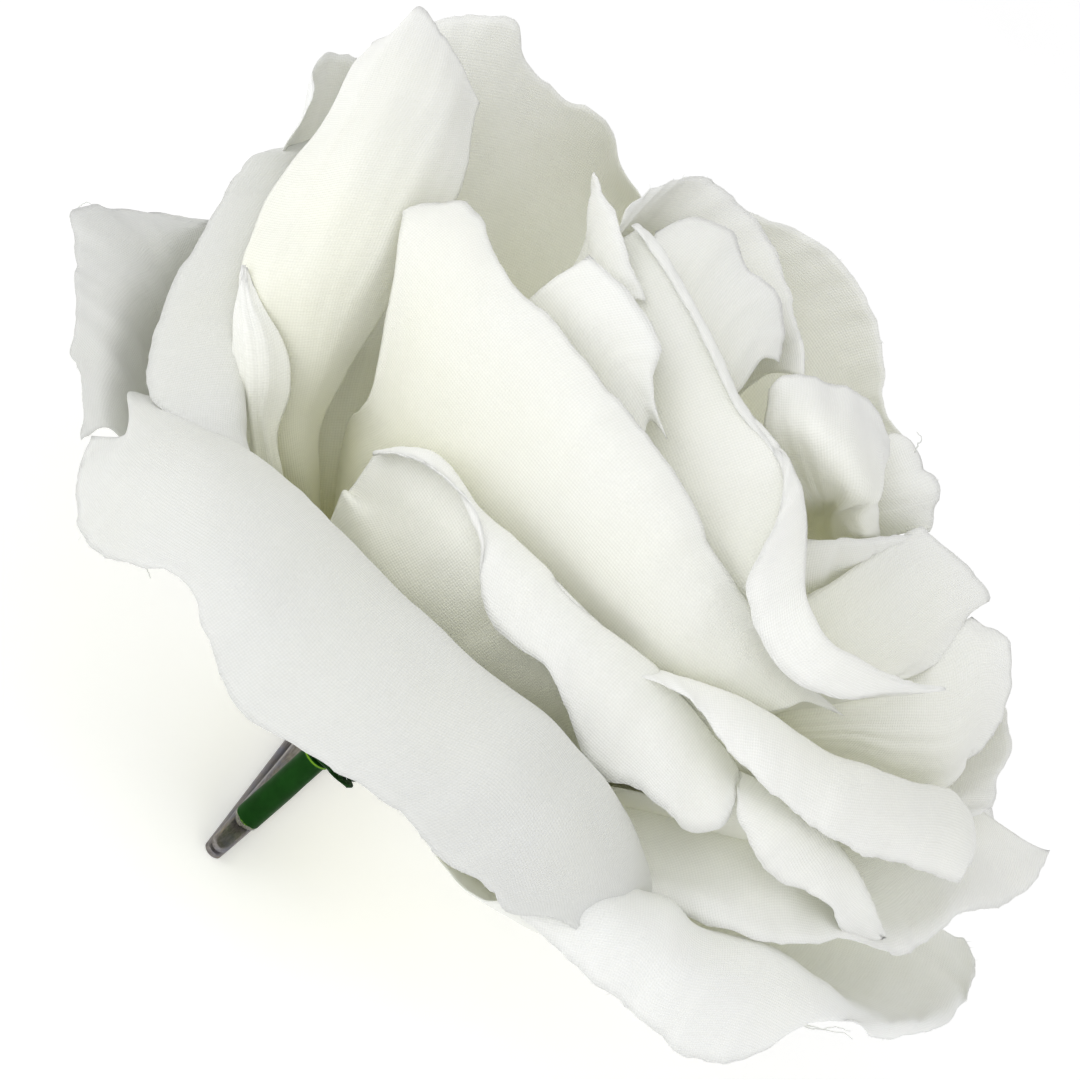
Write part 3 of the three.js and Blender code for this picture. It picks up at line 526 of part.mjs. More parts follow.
    [[-9.5, 12.4, 56.8], [-5.4, 14.8, 56.8], [-1.1, 16.3, 56.8], [3.6, 16.5, 56.7], [8.2, 15.4, 56.8], [11.9, 12.8, 56.8], [14.8, 9.0, 56.9]],
    [[-11.7, 15.3, 67.4], [-6.7, 18.3, 67.1], [-1.4, 20.0, 66.9], [4.3, 20.2, 66.8], [9.8, 18.5, 67.1], [14.4, 15.3, 67.3], [17.9, 10.7, 67.5]],
    [[-15.1, 17.4, 76.9], [-9.8, 20.4, 77.4], [-4.0, 22.4, 77.8], [2.2, 22.9, 78.1], [8.3, 21.8, 77.7], [13.6, 18.8, 77.3], [17.9, 14.3, 76.7]],
    [[-16.3, 17.2, 87.1], [-10.1, 20.5, 88.6], [-3.4, 22.5, 90.4], [3.8, 22.9, 89.5], [10.2, 21.2, 86.7], [15.6, 17.4, 84.3], [20.4, 12.1, 85.4]],
  ],
  // bud wrap, left
  petal_bud_left: [
    [[-1.9, 3.7, 28.1], [-2.8, 3.1, 28.1], [-3.5, 2.3, 28.1], [-4.0, 1.3, 28.1], [-4.2, 0.2, 28.1], [-4.1, -0.9, 28.1], [-3.7, -1.9, 28.1]],
    [[-5.3, -0.3, 38.4], [-6.5, 1.2, 38.4], [-7.0, 2.6, 38.4], [-6.4, 4.1, 38.4], [-4.9, 4.6, 38.4], [-3.0, 4.0, 38.4], [-1.3, 2.1, 38.4]],
    [[-8.7, -3.6, 48.7], [-10.2, -0.1, 48.7], [-10.3, 3.3, 48.7], [-8.6, 6.7, 48.7], [-5.4, 8.2, 48.7], [-1.9, 7.7, 48.7], [0.7, 4.7, 48.7]],
    [[-12.5, -5.3, 59.3], [-14.2, -0.1, 59.3], [-13.6, 5.0, 59.3], [-10.5, 9.4, 59.3], [-5.5, 10.8, 59.3], [-0.9, 8.9, 59.3], [1.7, 4.3, 59.3]],
    [[-16.4, -6.0, 70.0], [-18.3, 0.7, 70.0], [-16.8, 7.2, 70.0], [-12.1, 11.7, 70.0], [-5.3, 12.1, 70.0], [0.1, 7.9, 70.0], [2.0, 1.5, 70.0]],
    [[-18.6, -8.1, 81.0], [-19.4, -1.9, 81.2], [-17.5, 4.2, 80.9], [-13.0, 8.6, 80.9], [-7.0, 9.4, 81.1], [-1.7, 5.5, 81.2], [1.3, 0.2, 81.7]],
    [[-21.0, -6.1, 89.9], [-20.1, 1.7, 91.0], [-17.9, 9.2, 91.1], [-11.2, 13.3, 90.5], [-4.5, 10.2, 89.8], [0.2, 3.8, 90.0], [3.9, -3.2, 89.7]],
  ],
  // bud, hooded petal over the centre
  petal_bud_hood: [
    [[-0.5, -3.6, 30.1], [0.4, -3.6, 30.1], [1.3, -3.4, 30.1], [2.1, -2.9, 30.1], [2.7, -2.4, 30.1], [3.2, -1.6, 30.1], [3.5, -0.8, 30.1]],
    [[-1.3, -4.8, 43.7], [0.2, -6.1, 43.6], [1.8, -7.0, 43.4], [3.5, -7.5, 43.3], [5.1, -7.4, 43.3], [6.9, -6.9, 43.2], [8.7, -6.0, 43.3]],
    [[2.4, -4.7, 55.7], [4.1, -6.7, 55.9], [5.9, -8.3, 56.2], [7.8, -9.3, 56.5], [9.9, -8.7, 56.5], [12.1, -7.6, 56.4], [14.2, -6.5, 56.4]],
    [[13.8, -2.9, 66.2], [14.9, -4.6, 67.2], [16.3, -6.1, 68.6], [17.7, -6.7, 70.0], [19.6, -3.0, 70.2], [20.9, 0.1, 69.8], [21.6, 1.6, 69.6]],
    [[18.0, -0.5, 73.9], [18.7, -2.1, 76.2], [19.2, -4.3, 78.4], [19.6, -6.1, 80.4], [20.9, -5.3, 82.0], [21.8, -3.3, 82.5], [22.4, -0.3, 82.0]],
    [[12.4, -10.4, 83.6], [12.6, -12.1, 85.9], [13.4, -13.8, 88.1], [15.1, -14.2, 89.9], [16.6, -13.2, 90.7], [17.4, -11.0, 90.5], [17.7, -7.8, 89.5]],
    [[2.0, -10.6, 89.3], [2.7, -9.3, 91.7], [4.8, -7.1, 92.7], [7.2, -5.1, 93.0], [9.4, -2.8, 92.9], [12.1, -1.7, 92.1], [14.7, -0.6, 90.7]],
  ],
  // bud, inner left
  petal_bud_inner_left: [
    [[-3.3, 0.7, 29.1], [-3.4, -0.1, 29.1], [-3.3, -0.8, 29.1], [-3.0, -1.6, 29.1], [-2.6, -2.2, 29.1], [-2.0, -2.7, 29.1], [-1.3, -3.1, 29.1]],
    [[-4.5, -1.2, 40.8], [-4.8, -0.4, 40.8], [-5.0, 0.4, 40.8], [-4.8, 1.0, 40.8], [-4.2, 1.5, 40.8], [-3.2, 1.8, 40.8], [-2.0, 2.1, 40.8]],
    [[-6.5, -3.2, 52.2], [-6.6, -1.3, 52.2], [-6.5, 0.4, 52.2], [-6.1, 1.9, 52.2], [-5.2, 3.0, 52.2], [-3.7, 3.8, 52.2], [-2.0, 4.4, 52.2]],
    [[-10.0, -5.5, 63.4], [-9.1, -3.4, 63.3], [-8.0, -1.7, 63.3], [-6.6, -0.3, 63.3], [-4.8, 0.4, 63.3], [-2.7, 0.7, 63.3], [-0.6, 0.6, 63.4]],
    [[-13.6, -7.6, 74.3], [-11.5, -6.1, 74.3], [-9.3, -5.0, 74.4], [-6.7, -4.4, 74.3], [-4.1, -4.3, 74.3], [-1.6, -4.8, 74.3], [0.8, -5.6, 74.3]],
    [[-15.6, -9.0, 85.6], [-12.9, -9.1, 86.3], [-10.2, -9.3, 86.6], [-7.5, -9.7, 86.4], [-4.8, -10.0, 86.1], [-2.1, -10.3, 85.8], [0.6, -10.5, 85.4]],
    [[-17.1, -2.8, 88.8], [-15.4, 0.8, 90.6], [-12.1, 3.4, 91.8], [-8.4, 1.6, 91.7], [-4.2, 1.7, 91.8], [-0.7, -0.3, 90.4], [1.2, -4.1, 89.6]],
  ],
  // bud, inner right
  petal_bud_inner_right: [
    [[2.7, -1.7, 31.1], [3.0, -1.0, 31.1], [3.2, -0.3, 31.1], [3.2, 0.4, 31.1], [3.0, 1.1, 31.1], [2.6, 1.8, 31.1], [2.2, 2.4, 31.1]],
    [[5.5, -1.9, 40.4], [6.4, -1.0, 40.5], [7.2, 0.0, 40.5], [7.7, 1.0, 40.6], [7.7, 2.1, 40.7], [7.4, 3.3, 40.9], [6.9, 4.5, 41.0]],
    [[7.9, -1.7, 50.1], [9.4, -0.8, 50.2], [10.7, 0.2, 50.2], [11.6, 1.4, 50.3], [11.9, 2.8, 50.4], [11.7, 4.4, 50.5], [11.4, 6.1, 50.6]],
    [[9.3, -0.8, 61.2], [11.1, -0.4, 61.0], [12.7, 0.2, 60.7], [13.9, 1.2, 60.4], [14.6, 2.6, 60.2], [14.9, 4.4, 59.9], [15.0, 6.3, 59.6]],
    [[8.7, 0.8, 74.7], [10.4, 0.0, 73.7], [12.1, -0.4, 72.5], [13.7, 0.0, 71.4], [15.1, 1.2, 70.2], [16.4, 2.9, 69.1], [17.6, 4.8, 67.9]],
    [[10.5, 2.8, 85.9], [12.1, 1.1, 84.5], [13.7, -0.1, 83.1], [15.4, -0.3, 81.5], [17.0, 0.4, 79.8], [18.7, 1.7, 78.1], [20.4, 3.3, 76.3]],
    [[14.9, 5.6, 89.3], [16.9, 5.5, 89.8], [18.9, 5.3, 89.4], [20.8, 5.1, 89.1], [22.6, 5.0, 88.3], [23.8, 4.9, 86.7], [24.9, 4.4, 85.0]],
  ],
  // bud, rolled centre
  petal_bud_centre: [
    [[0.8, -2.5, 32.1], [1.4, -2.2, 32.1], [1.9, -1.8, 32.1], [2.3, -1.2, 32.1], [2.5, -0.6, 32.1], [2.6, 0.1, 32.1], [2.5, 0.8, 32.1]],
    [[2.9, -2.6, 41.5], [4.0, -2.4, 41.5], [4.9, -2.2, 41.4], [5.6, -1.7, 41.3], [6.1, -1.0, 41.2], [6.2, -0.1, 41.1], [6.2, 0.9, 40.9]],
    [[5.4, -3.2, 50.6], [6.8, -3.0, 50.5], [8.1, -2.7, 50.4], [9.0, -2.2, 50.3], [9.6, -1.4, 50.2], [9.9, -0.2, 50.1], [10.0, 1.1, 49.9]],
    [[8.9, -4.9, 58.9], [10.4, -4.3, 59.0], [11.7, -3.6, 59.0], [12.8, -2.7, 59.1], [13.5, -1.5, 59.2], [13.8, 0.1, 59.3], [14.1, 1.7, 59.5]],
    [[16.2, -8.5, 65.8], [17.1, -6.4, 66.0], [18.0, -4.4, 66.5], [18.6, -2.4, 67.3], [18.9, -0.1, 68.3], [19.1, 1.9, 69.6], [19.4, 3.6, 71.6]],
    [[21.1, -12.3, 72.7], [21.8, -9.1, 73.3], [22.4, -6.0, 74.3], [22.8, -3.0, 75.6], [23.0, 0.1, 77.1], [23.3, 2.7, 79.1], [23.9, 4.7, 82.0]],
    [[15.6, -13.2, 81.7], [17.6, -11.4, 83.5], [19.4, -8.9, 84.5], [20.8, -6.0, 84.8], [22.1, -3.0, 85.1], [23.5, 0.0, 85.4], [24.8, 2.9, 85.8]],
  ],};

// A net of points thickened to both sides and closed round its border. grow extends the border as well.
function shell(rows, thickness, grow) {
  const R = rows.length, C = rows[0].length;
  let net = rows.map((row) => row.map((p) => new THREE.Vector3(...p)));
  if (grow > 0) {
    const push = (p, q) => p.clone().add(p.clone().sub(q).setLength(grow));
    for (const row of net) {
      const a = push(row[0], row[1]), b = push(row[C - 1], row[C - 2]);
      row[0] = a; row[C - 1] = b;
    }
    const top = net[R - 1].map((p, j) => push(p, net[R - 2][j]));
    const low = net[0].map((p, j) => push(p, net[1][j]));
    net[R - 1] = top; net[0] = low;
  }
  const normal = (i, j) => {
    const u = net[Math.min(i + 1, R - 1)][j].clone().sub(net[Math.max(i - 1, 0)][j]);
    const v = net[i][Math.min(j + 1, C - 1)].clone().sub(net[i][Math.max(j - 1, 0)]);
    return v.cross(u).normalize();
  };
  const pos = [], idx = [];
  for (const side of [1, -1])
    for (let i = 0; i < R; i++)
      for (let j = 0; j < C; j++) pos.push(...net[i][j].clone().addScaledVector(normal(i, j), (side * thickness) / 2).toArray());
  const at = (s, i, j) => s * R * C + i * C + j;
  for (let i = 0; i < R - 1; i++)
    for (let j = 0; j < C - 1; j++) {
      idx.push(at(0, i, j), at(0, i, j + 1), at(0, i + 1, j + 1), at(0, i, j), at(0, i + 1, j + 1), at(0, i + 1, j));
      idx.push(at(1, i, j), at(1, i + 1, j + 1), at(1, i, j + 1), at(1, i, j), at(1, i + 1, j), at(1, i + 1, j + 1));
    }
  const wall = (a, b) => idx.push(at(0, ...a), at(1, ...a), at(1, ...b), at(0, ...a), at(1, ...b), at(0, ...b));
  for (let j = 0; j < C - 1; j++) { wall([0, j], [0, j + 1]); wall([R - 1, j + 1], [R - 1, j]); }
  for (let i = 0; i < R - 1; i++) { wall([i, C - 1], [i + 1, C - 1]); wall([i + 1, 0], [i, 0]); }
  const g = new THREE.BufferGeometry();
  g.setAttribute("position", new THREE.Float32BufferAttribute(pos, 3));
  g.setIndex(idx);
  let made = solid(g);
  if (made.volume() < 0) {
    for (let k = 0; k < idx.length; k += 3) [idx[k + 1], idx[k + 2]] = [idx[k + 2], idx[k + 1]];
    g.setIndex(idx);
    made = solid(g);
  }
  return made;
}

// Each petal gives way to the ones laid before it, so that the cloth never passes through itself.
const laid = [
  turned([[0, CORE_LOW_Z - 0.3], [5.2, CORE_LOW_Z - 0.3], [5.5, 20.4], [5.1, 24], [4.4, 26.2], [3.8, 28.2], [2.6, 31.2], [1.8, 32.8], [0, 33.6]], 24),
  turned([[0, CALYX_LOW_Z - 0.3], [3.6, CALYX_LOW_Z + 0.8], [5.5, 18], [5.85, 18.75], [5.4, 19.25], [0, 19.25]], 20),
  ...sepalNets.map((rows) => shell(rows, 1.1, 0.3)),
];
const boxOf = (m) => m.boundingBox();
const apart = (a, b) => [0, 1, 2].some((k) => a.min[k] > b.max[k] || b.min[k] > a.max[k]);
for (const [name, rows] of Object.entries(PETALS)) {
  let made = shell(rows, PETAL_T, 0);
  for (const other of laid) if (!apart(boxOf(made), boxOf(other))) made = made.subtract(other);
  const body = largest(made);
  laid.push(shell(rows, PETAL_T + 2 * PETAL_GAP, PETAL_GAP), shell(rows, PETAL_T + 0.3, 0.02));
  addMesh(name, geometryOf(body), "cloth");
}

export default part;
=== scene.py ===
# Flower hair clip: the looks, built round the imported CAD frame. Metres, +Z along the flower's axis.
import math
import bpy
import numpy as np
from mathutils import Matrix, Vector


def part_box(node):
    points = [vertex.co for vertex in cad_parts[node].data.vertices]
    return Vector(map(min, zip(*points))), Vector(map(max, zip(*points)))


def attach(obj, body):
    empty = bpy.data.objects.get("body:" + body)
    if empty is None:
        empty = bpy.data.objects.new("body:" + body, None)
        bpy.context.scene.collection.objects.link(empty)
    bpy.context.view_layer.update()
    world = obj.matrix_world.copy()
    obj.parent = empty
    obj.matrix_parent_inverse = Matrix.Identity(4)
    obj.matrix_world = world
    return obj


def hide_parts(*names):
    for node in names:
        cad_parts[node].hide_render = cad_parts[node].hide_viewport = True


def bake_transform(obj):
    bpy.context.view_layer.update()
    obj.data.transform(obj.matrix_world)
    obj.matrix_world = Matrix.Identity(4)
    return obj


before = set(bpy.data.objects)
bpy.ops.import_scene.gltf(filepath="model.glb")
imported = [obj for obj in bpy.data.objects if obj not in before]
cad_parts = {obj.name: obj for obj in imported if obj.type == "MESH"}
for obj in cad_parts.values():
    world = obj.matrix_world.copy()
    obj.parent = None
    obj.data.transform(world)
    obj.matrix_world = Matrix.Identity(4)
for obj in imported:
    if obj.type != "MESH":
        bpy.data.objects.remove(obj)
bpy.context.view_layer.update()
scene = bpy.context.scene
scene.cycles.max_bounces, scene.cycles.diffuse_bounces = 14, 12  # light goes a long way between white petals
MM = 0.001

# ---------------------------------------------------------------- camera
CAM_AZ, CAM_EL, CAM_ROLL = math.radians(-2.5), math.radians(27.0), math.radians(41.7)
right = np.array([math.cos(CAM_AZ), math.sin(CAM_AZ), 0.0])
away = np.array([-math.sin(CAM_AZ), math.cos(CAM_AZ), 0.0])
up = math.sin(CAM_EL) * away + math.cos(CAM_EL) * np.array([0, 0, 1.0])
back = -math.cos(CAM_EL) * away + math.sin(CAM_EL) * np.array([0, 0, 1.0])
cam_x = math.cos(CAM_ROLL) * up + math.sin(CAM_ROLL) * right
cam_y = math.sin(CAM_ROLL) * up - math.cos(CAM_ROLL) * right
cam_at = np.array([0, 0, 0.0551]) - 0.0021 * cam_x + 0.567 * back
cam = bpy.data.objects.new("camera", bpy.data.cameras.new("camera"))
scene.collection.objects.link(cam)
cam.data.lens, cam.data.sensor_width = 180, 36
cam.data.clip_start, cam.data.clip_end = 0.05, 20
cam.matrix_world = Matrix([[cam_x[i], cam_y[i], back[i], cam_at[i]] for i in range(3)] + [[0, 0, 0, 1]])
scene.camera = cam

# ---------------------------------------------------------------- materials
class Nodes:
    """A small helper round one material's node tree."""
    def __init__(self, name):
        self.m = bpy.data.materials.new(name)
        self.m.use_nodes = True
        self.t = self.m.node_tree
        self.b = self.t.nodes["Principled BSDF"]
    def set(self, **kw):
        for k, v in kw.items():
            self.b.inputs[k.replace("_", " ")].default_value = v
    def add(self, kind, **props):
        n = self.t.nodes.new(kind)
        for k, v in props.items():
            setattr(n, k, v)
        return n
    def wire(self, a, b):
        self.t.links.new(a, b)
    def put(self, socket, value):
        if hasattr(value, "links") or isinstance(value, bpy.types.NodeSocket):
            self.wire(value, socket)
        else:
            socket.default_value = value
    def math(self, op, a, b=None, c=None, clamp=False):
        n = self.add("ShaderNodeMath", operation=op, use_clamp=clamp)
        for i, v in enumerate((a, b, c)):
            if v is not None:
                self.put(n.inputs[i], v)
        return n.outputs[0]
    def mix(self, f, a, b, blend="MIX"):
        n = self.add("ShaderNodeMix", data_type="RGBA", blend_type=blend)
        self.put(n.inputs[0], f)
        self.put(n.inputs[6], a)
        self.put(n.inputs[7], b)
        return n.outputs[2]
    def noise(self, vec, scale, detail=3, rough=0.5):
        n = self.add("ShaderNodeTexNoise")
        if vec is not None:
            self.wire(vec, n.inputs["Vector"])
        n.inputs["Scale"].default_value = scale
        n.inputs["Detail"].default_value = detail
        n.inputs["Roughness"].default_value = rough
        return n.outputs["Fac"]
    def ramp(self, f, stops):
        n = self.add("ShaderNodeValToRGB")
        e = n.color_ramp.elements
        while len(e) < len(stops):
            e.new(0.5)
        for el, (p, c) in zip(e, stops):
            el.position, el.color = p, (*c, 1)
        self.wire(f, n.inputs[0])
        return n.outputs[0]
    def map_range(self, f, a, b, c, d):
        n = self.add("ShaderNodeMapRange")
        for i, v in enumerate((f, a, b, c, d)):
            self.put(n.inputs[i], v)
        return n.outputs[0]
    def stretch(self, vec, s):
        n = self.add("ShaderNodeMapping")
        self.wire(vec, n.inputs[0])
        n.inputs["Scale"].default_value = s
        return n.outputs[0]
    def bump(self, height, distance, strength=1.0, normal=None):
        n = self.add("ShaderNodeBump")
        n.inputs["Strength"].default_value = strength
        n.inputs["Distance"].default_value = distance
        self.wire(height, n.inputs["Height"])
        if normal is not None:
            self.wire(normal, n.inputs["Normal"])
        return n.outputs[0]
    def place(self):
        return self.add("ShaderNodeTexCoord").outputs["Object"]


WEAVE_PITCH = 0.30  # millimetres between threads; the cloth's UVs are in centimetres

def cloth_material(name, tint=(1.0, 1.0, 1.0), root=(0.94, 0.92, 0.60)):
    """Heat-pressed plain-weave polyester: white margins, cream roots, fine threads both ways, a few pressed creases."""
    n = Nodes(name)
    uv = n.add("ShaderNodeUVMap", uv_map="UVMap").outputs[0]
    pos = n.place()
    sep = n.add("ShaderNodeSeparateXYZ")
    wob = n.noise(pos, 260, 2)
    n.wire(uv, sep.inputs[0])
    wobble = n.math("MULTIPLY_ADD", wob, 0.012, -0.006)
    u = n.math("ADD", sep.outputs[0], wobble)
    v = n.math("ADD", sep.outputs[1], wobble)
    k = 2 * math.pi / (WEAVE_PITCH / 10)
    su, sv = n.math("SINE", n.math("MULTIPLY", u, k)), n.math("SINE", n.math("MULTIPLY", v, k))
    threads = n.math("MULTIPLY_ADD", n.math("ADD", su, sv), 0.25, 0.5)
    # slubs: single threads a little thicker than the rest, in both directions
    slub_u = n.noise(n.stretch(uv, (30, 1.1, 1)), 1.0, 2)
    slub_v = n.noise(n.stretch(uv, (1.1, 30, 1)), 1.0, 2)
    slubs = n.math("ADD", slub_u, slub_v)
    weave = n.math("ADD", n.math("MULTIPLY", threads, 0.75), n.math("MULTIPLY", slubs, 0.45))
    soft = n.noise(pos, 95, 4, 0.55)
    # colour: vertex tone runs from cream-yellow at the root to white at the margin
    tone = n.add("ShaderNodeAttribute", attribute_name="tone").outputs["Fac"]
    tone = n.math("ADD", tone, n.math("MULTIPLY_ADD", n.noise(pos, 60, 3), 0.22, -0.11))
    mid = (0.905, 0.908, 0.825)
    white = (0.925, 0.928, 0.90)
    base = n.ramp(tone, [(0.0, root), (0.45, (0.92, 0.915, 0.72)), (0.78, mid), (1.0, white)])
    base = n.mix(n.map_range(threads, 0.2, 0.9, 0.22, 0.0), base, (0.72, 0.73, 0.70, 1), "MULTIPLY")
    base = n.mix(n.map_range(soft, 0.3, 0.7, 0.10, 0.0), base, (0.86, 0.87, 0.86, 1), "MULTIPLY")
    # the tint multiplies the whole colour; on the darker cloth copies below it is painted shade
    if tint != (1.0, 1.0, 1.0):
        base = n.mix(1.0, base, (*tint, 1), "MULTIPLY")
    n.wire(base, n.b.inputs["Base Color"])
    n.wire(n.map_range(weave, 0.3, 1.1, 0.95, 0.74), n.b.inputs["Roughness"])
    n.set(IOR=1.45, Sheen_Weight=0.25, Sheen_Roughness=0.5, Subsurface_Weight=0.2, Subsurface_Scale=0.0012)
    n.b.inputs["Subsurface Radius"].default_value = (1.0, 0.98, 0.88)
    n.b.inputs["Specular IOR Level"].default_value = 0.25
    first = n.bump(soft, 0.00035, 0.35)
    n.wire(n.bump(weave, 0.00005, 0.9, first), n.b.inputs["Normal"])
    return n.m


def plastic_material(name, a, b, rough, pitch=0.004):
    """Moulded polyethylene: faint flow streaks along the moulding, mottled colour, small scuffs."""
    n = Nodes(name)
    pos = n.place()
    streak = n.noise(n.stretch(pos, (1, 1, 0.18)), 900, 4)
    cloud = n.noise(pos, 420, 3)
    n.wire(n.mix(n.map_range(cloud, 0.3, 0.7, 0, 1), (*a, 1), (*b, 1)), n.b.inputs["Base Color"])
    n.wire(n.map_range(streak, 0.3, 0.7, rough - 0.07, rough + 0.13), n.b.inputs["Roughness"])
    n.set(IOR=1.5, Specular_IOR_Level=0.05, Subsurface_Weight=0.08, Subsurface_Scale=0.0006)
    n.b.inputs["Subsurface Radius"].default_value = (0.5, 1.0, 0.4)
    n.wire(n.bump(n.math("ADD", streak, n.noise(pos, 2600, 2)), 0.00002, 0.6), n.b.inputs["Normal"])
    return n.m


def metal_material(name, dark, light, rough, brush=(1, 0.03, 1), painted_reflections=True):
    """Plated sheet steel: brushed along the jaw, brownish plating, with painted reflections: bluish patches and warm
    lighter streaks.
    """
    n = Nodes(name)
    pos = n.place()
    line = n.noise(n.stretch(pos, brush), 4200, 5, 0.6)
    cloud = n.noise(pos, 330, 4, 0.6)
    col = n.mix(n.map_range(line, 0.35, 0.7, 0, 1), (*dark, 1), (*light, 1))
    if painted_reflections:
        # painted reflections: bluish patches stand in for the highlight, warm lighter streaks for the stem and petals
        # mirrored in the jaw
        col = n.mix(n.map_range(cloud, 0.45, 0.65, 0, 0.55), col, (0.20, 0.21, 0.28, 1))
        painted_warm_streaks = n.noise(n.stretch(pos, (1, 0.12, 1)), 1500, 3, 0.5)
        col = n.mix(n.map_range(painted_warm_streaks, 0.62, 0.74, 0, 0.6), col, (0.42, 0.35, 0.24, 1))
    n.wire(col, n.b.inputs["Base Color"])
    n.set(Metallic=0.85, Anisotropic=0.4)
    n.wire(n.map_range(n.math("ADD", line, cloud), 0.7, 1.3, rough - 0.08, rough + 0.14), n.b.inputs["Roughness"])
    n.wire(n.bump(line, 0.00002, 0.5), n.b.inputs["Normal"])
    return n.m


def glue_material(name):
    n = Nodes(name)
    pos = n.place()
    c = n.noise(pos, 700, 4)
    n.wire(n.mix(n.map_range(c, 0.35, 0.65, 0, 1), (0.78, 0.73, 0.55, 1), (0.90, 0.89, 0.82, 1)), n.b.inputs["Base Color"])
    n.wire(n.map_range(c, 0.3, 0.7, 0.18, 0.38), n.b.inputs["Roughness"])
    n.set(IOR=1.48, Transmission_Weight=0.82)
    n.wire(n.bump(c, 0.0001, 0.5), n.b.inputs["Normal"])
    return n.m


M_CLOTH = cloth_material("ivory_cloth")
# darker, cooler copies of the same cloth, roots included, for the outer and far petals: painted shade, not a different
# cloth
M_CLOTH_COOL_PAINTED_SHADE = cloth_material("ivory_cloth_painted_cool_shade", tint=(0.985, 0.99, 1.0), root=(0.84, 0.84, 0.70))
M_CLOTH_DEEPEST_PAINTED_SHADE = cloth_material("ivory_cloth_painted_deeper_shade", tint=(0.70, 0.705, 0.71), root=(0.84, 0.84, 0.70))
M_CLOTH_PAINTED_SHADE = cloth_material("ivory_cloth_painted_shade", tint=(0.80, 0.805, 0.81), root=(0.84, 0.84, 0.70))
M_THREAD = cloth_material("loose_thread", tint=(0.86, 0.87, 0.88))
M_STEM = plastic_material("stem_green", (0.004, 0.034, 0.003), (0.008, 0.056, 0.006), 0.42)
# lighter green for the stem's cut rim and seam ring: painted light, the glow of light through the thin plastic
M_RIM_PAINTED_GLOW = plastic_material("stem_rim_painted_glow", (0.10, 0.26, 0.015), (0.20, 0.40, 0.03), 0.4)
M_CALYX = plastic_material("calyx_green", (0.006, 0.030, 0.006), (0.014, 0.055, 0.012), 0.45)
M_METAL = metal_material("gunmetal", (0.165, 0.148, 0.14), (0.33, 0.31, 0.30), 0.42)
M_PIN = metal_material("pin_steel", (0.16, 0.15, 0.145), (0.30, 0.29, 0.28), 0.3, brush=(1, 1, 1), painted_reflections=False)
M_SPRING = metal_material("spring_steel", (0.22, 0.22, 0.22), (0.42, 0.42, 0.41), 0.28, brush=(1, 1, 1), painted_reflections=False)
M_GLUE = glue_material("hot_glue")
M_FOAM = plastic_material("foam", (0.72, 0.74, 0.58), (0.80, 0.82, 0.68), 0.8)

# ---------------------------------------------------------------- mesh helpers
def put(name, verts, faces, mats, uv=None, tone=None, face_mat=None, smooth=True):
    me = bpy.data.meshes.new(name)
    me.from_pydata([tuple(map(float, p)) for p in np.asarray(verts) * MM], [], faces)
    for m in mats:
        me.materials.append(m)
    if smooth:
        me.polygons.foreach_set("use_smooth", [True] * len(me.polygons))
    if uv is not None:
        lay = me.uv_layers.new(name="UVMap")
        loops = np.zeros(len(me.loops), np.int32)
        me.loops.foreach_get("vertex_index", loops)
        lay.data.foreach_set("uv", np.asarray(uv, np.float32)[loops].ravel())
    if tone is not None:
        at = me.attributes.new("tone", "FLOAT", "POINT")
        at.data.foreach_set("value", np.asarray(tone, np.float32))
    if face_mat is not None:
        me.polygons.foreach_set("material_index", face_mat)
    me.validate()
    me.update()
    ob = bpy.data.objects.new(name, me)
    scene.collection.objects.link(ob)
    return ob

def spline(t, pts, q):
    """Cubic through pts at the parameters t, read at q."""
    n = len(t)
    m = np.zeros_like(pts)
    for i in range(1, n - 1):
        a, b = (pts[i] - pts[i - 1]) / (t[i] - t[i - 1]), (pts[i + 1] - pts[i]) / (t[i + 1] - t[i])
        h0, h1 = t[i] - t[i - 1], t[i + 1] - t[i]
        m[i] = (a * h1 + b * h0) / (h0 + h1)
    first, last = (pts[1] - pts[0]) / (t[1] - t[0]), (pts[-1] - pts[-2]) / (t[-1] - t[-2])
    m[0] = 1.5 * first - 0.5 * (m[1] if n > 2 else first)
    m[-1] = 1.5 * last - 0.5 * (m[-2] if n > 2 else last)
    idx = np.clip(np.searchsorted(t, q, side="right") - 1, 0, n - 2)
    h = t[idx + 1] - t[idx]
    s = ((q - t[idx]) / h)[:, None]
    h = h[:, None]
    s2, s3 = s * s, s * s * s
    return (2 * s3 - 3 * s2 + 1) * pts[idx] + (s3 - 2 * s2 + s) * h * m[idx] + (3 * s2 - 2 * s3) * pts[idx + 1] + (s3 - s2) * h * m[idx + 1]

def resample(row, k):
    row = np.asarray(row, float)
    t = np.concatenate([[0], np.cumsum(np.sqrt((np.diff(row, axis=0) ** 2).sum(1)))])
    return spline(t, row, np.linspace(0, t[-1], k))

def lattice(shape, seed):
    return np.random.RandomState(seed).uniform(-1, 1, shape)

def soft_noise(u, v, seed):
    """Smooth noise of the plane, about -1 to 1, one cell to a unit."""
    g = lattice((64, 64), seed)
    iu, iv = np.floor(u).astype(int), np.floor(v).astype(int)
    fu, fv = u - iu, v - iv
    fu, fv = fu * fu * (3 - 2 * fu), fv * fv * (3 - 2 * fv)
    at = lambda a, b: g[a % 64, b % 64]
    return (at(iu, iv) * (1 - fu) + at(iu + 1, iv) * fu) * (1 - fv) + (at(iu, iv + 1) * (1 - fu) + at(iu + 1, iv + 1) * fu) * fv

def normals(S):
    du = np.gradient(S, axis=1)
    dv = np.gradient(S, axis=0)
    n = np.cross(du, dv)
    return n / np.maximum(np.linalg.norm(n, axis=-1, keepdims=True), 1e-9)
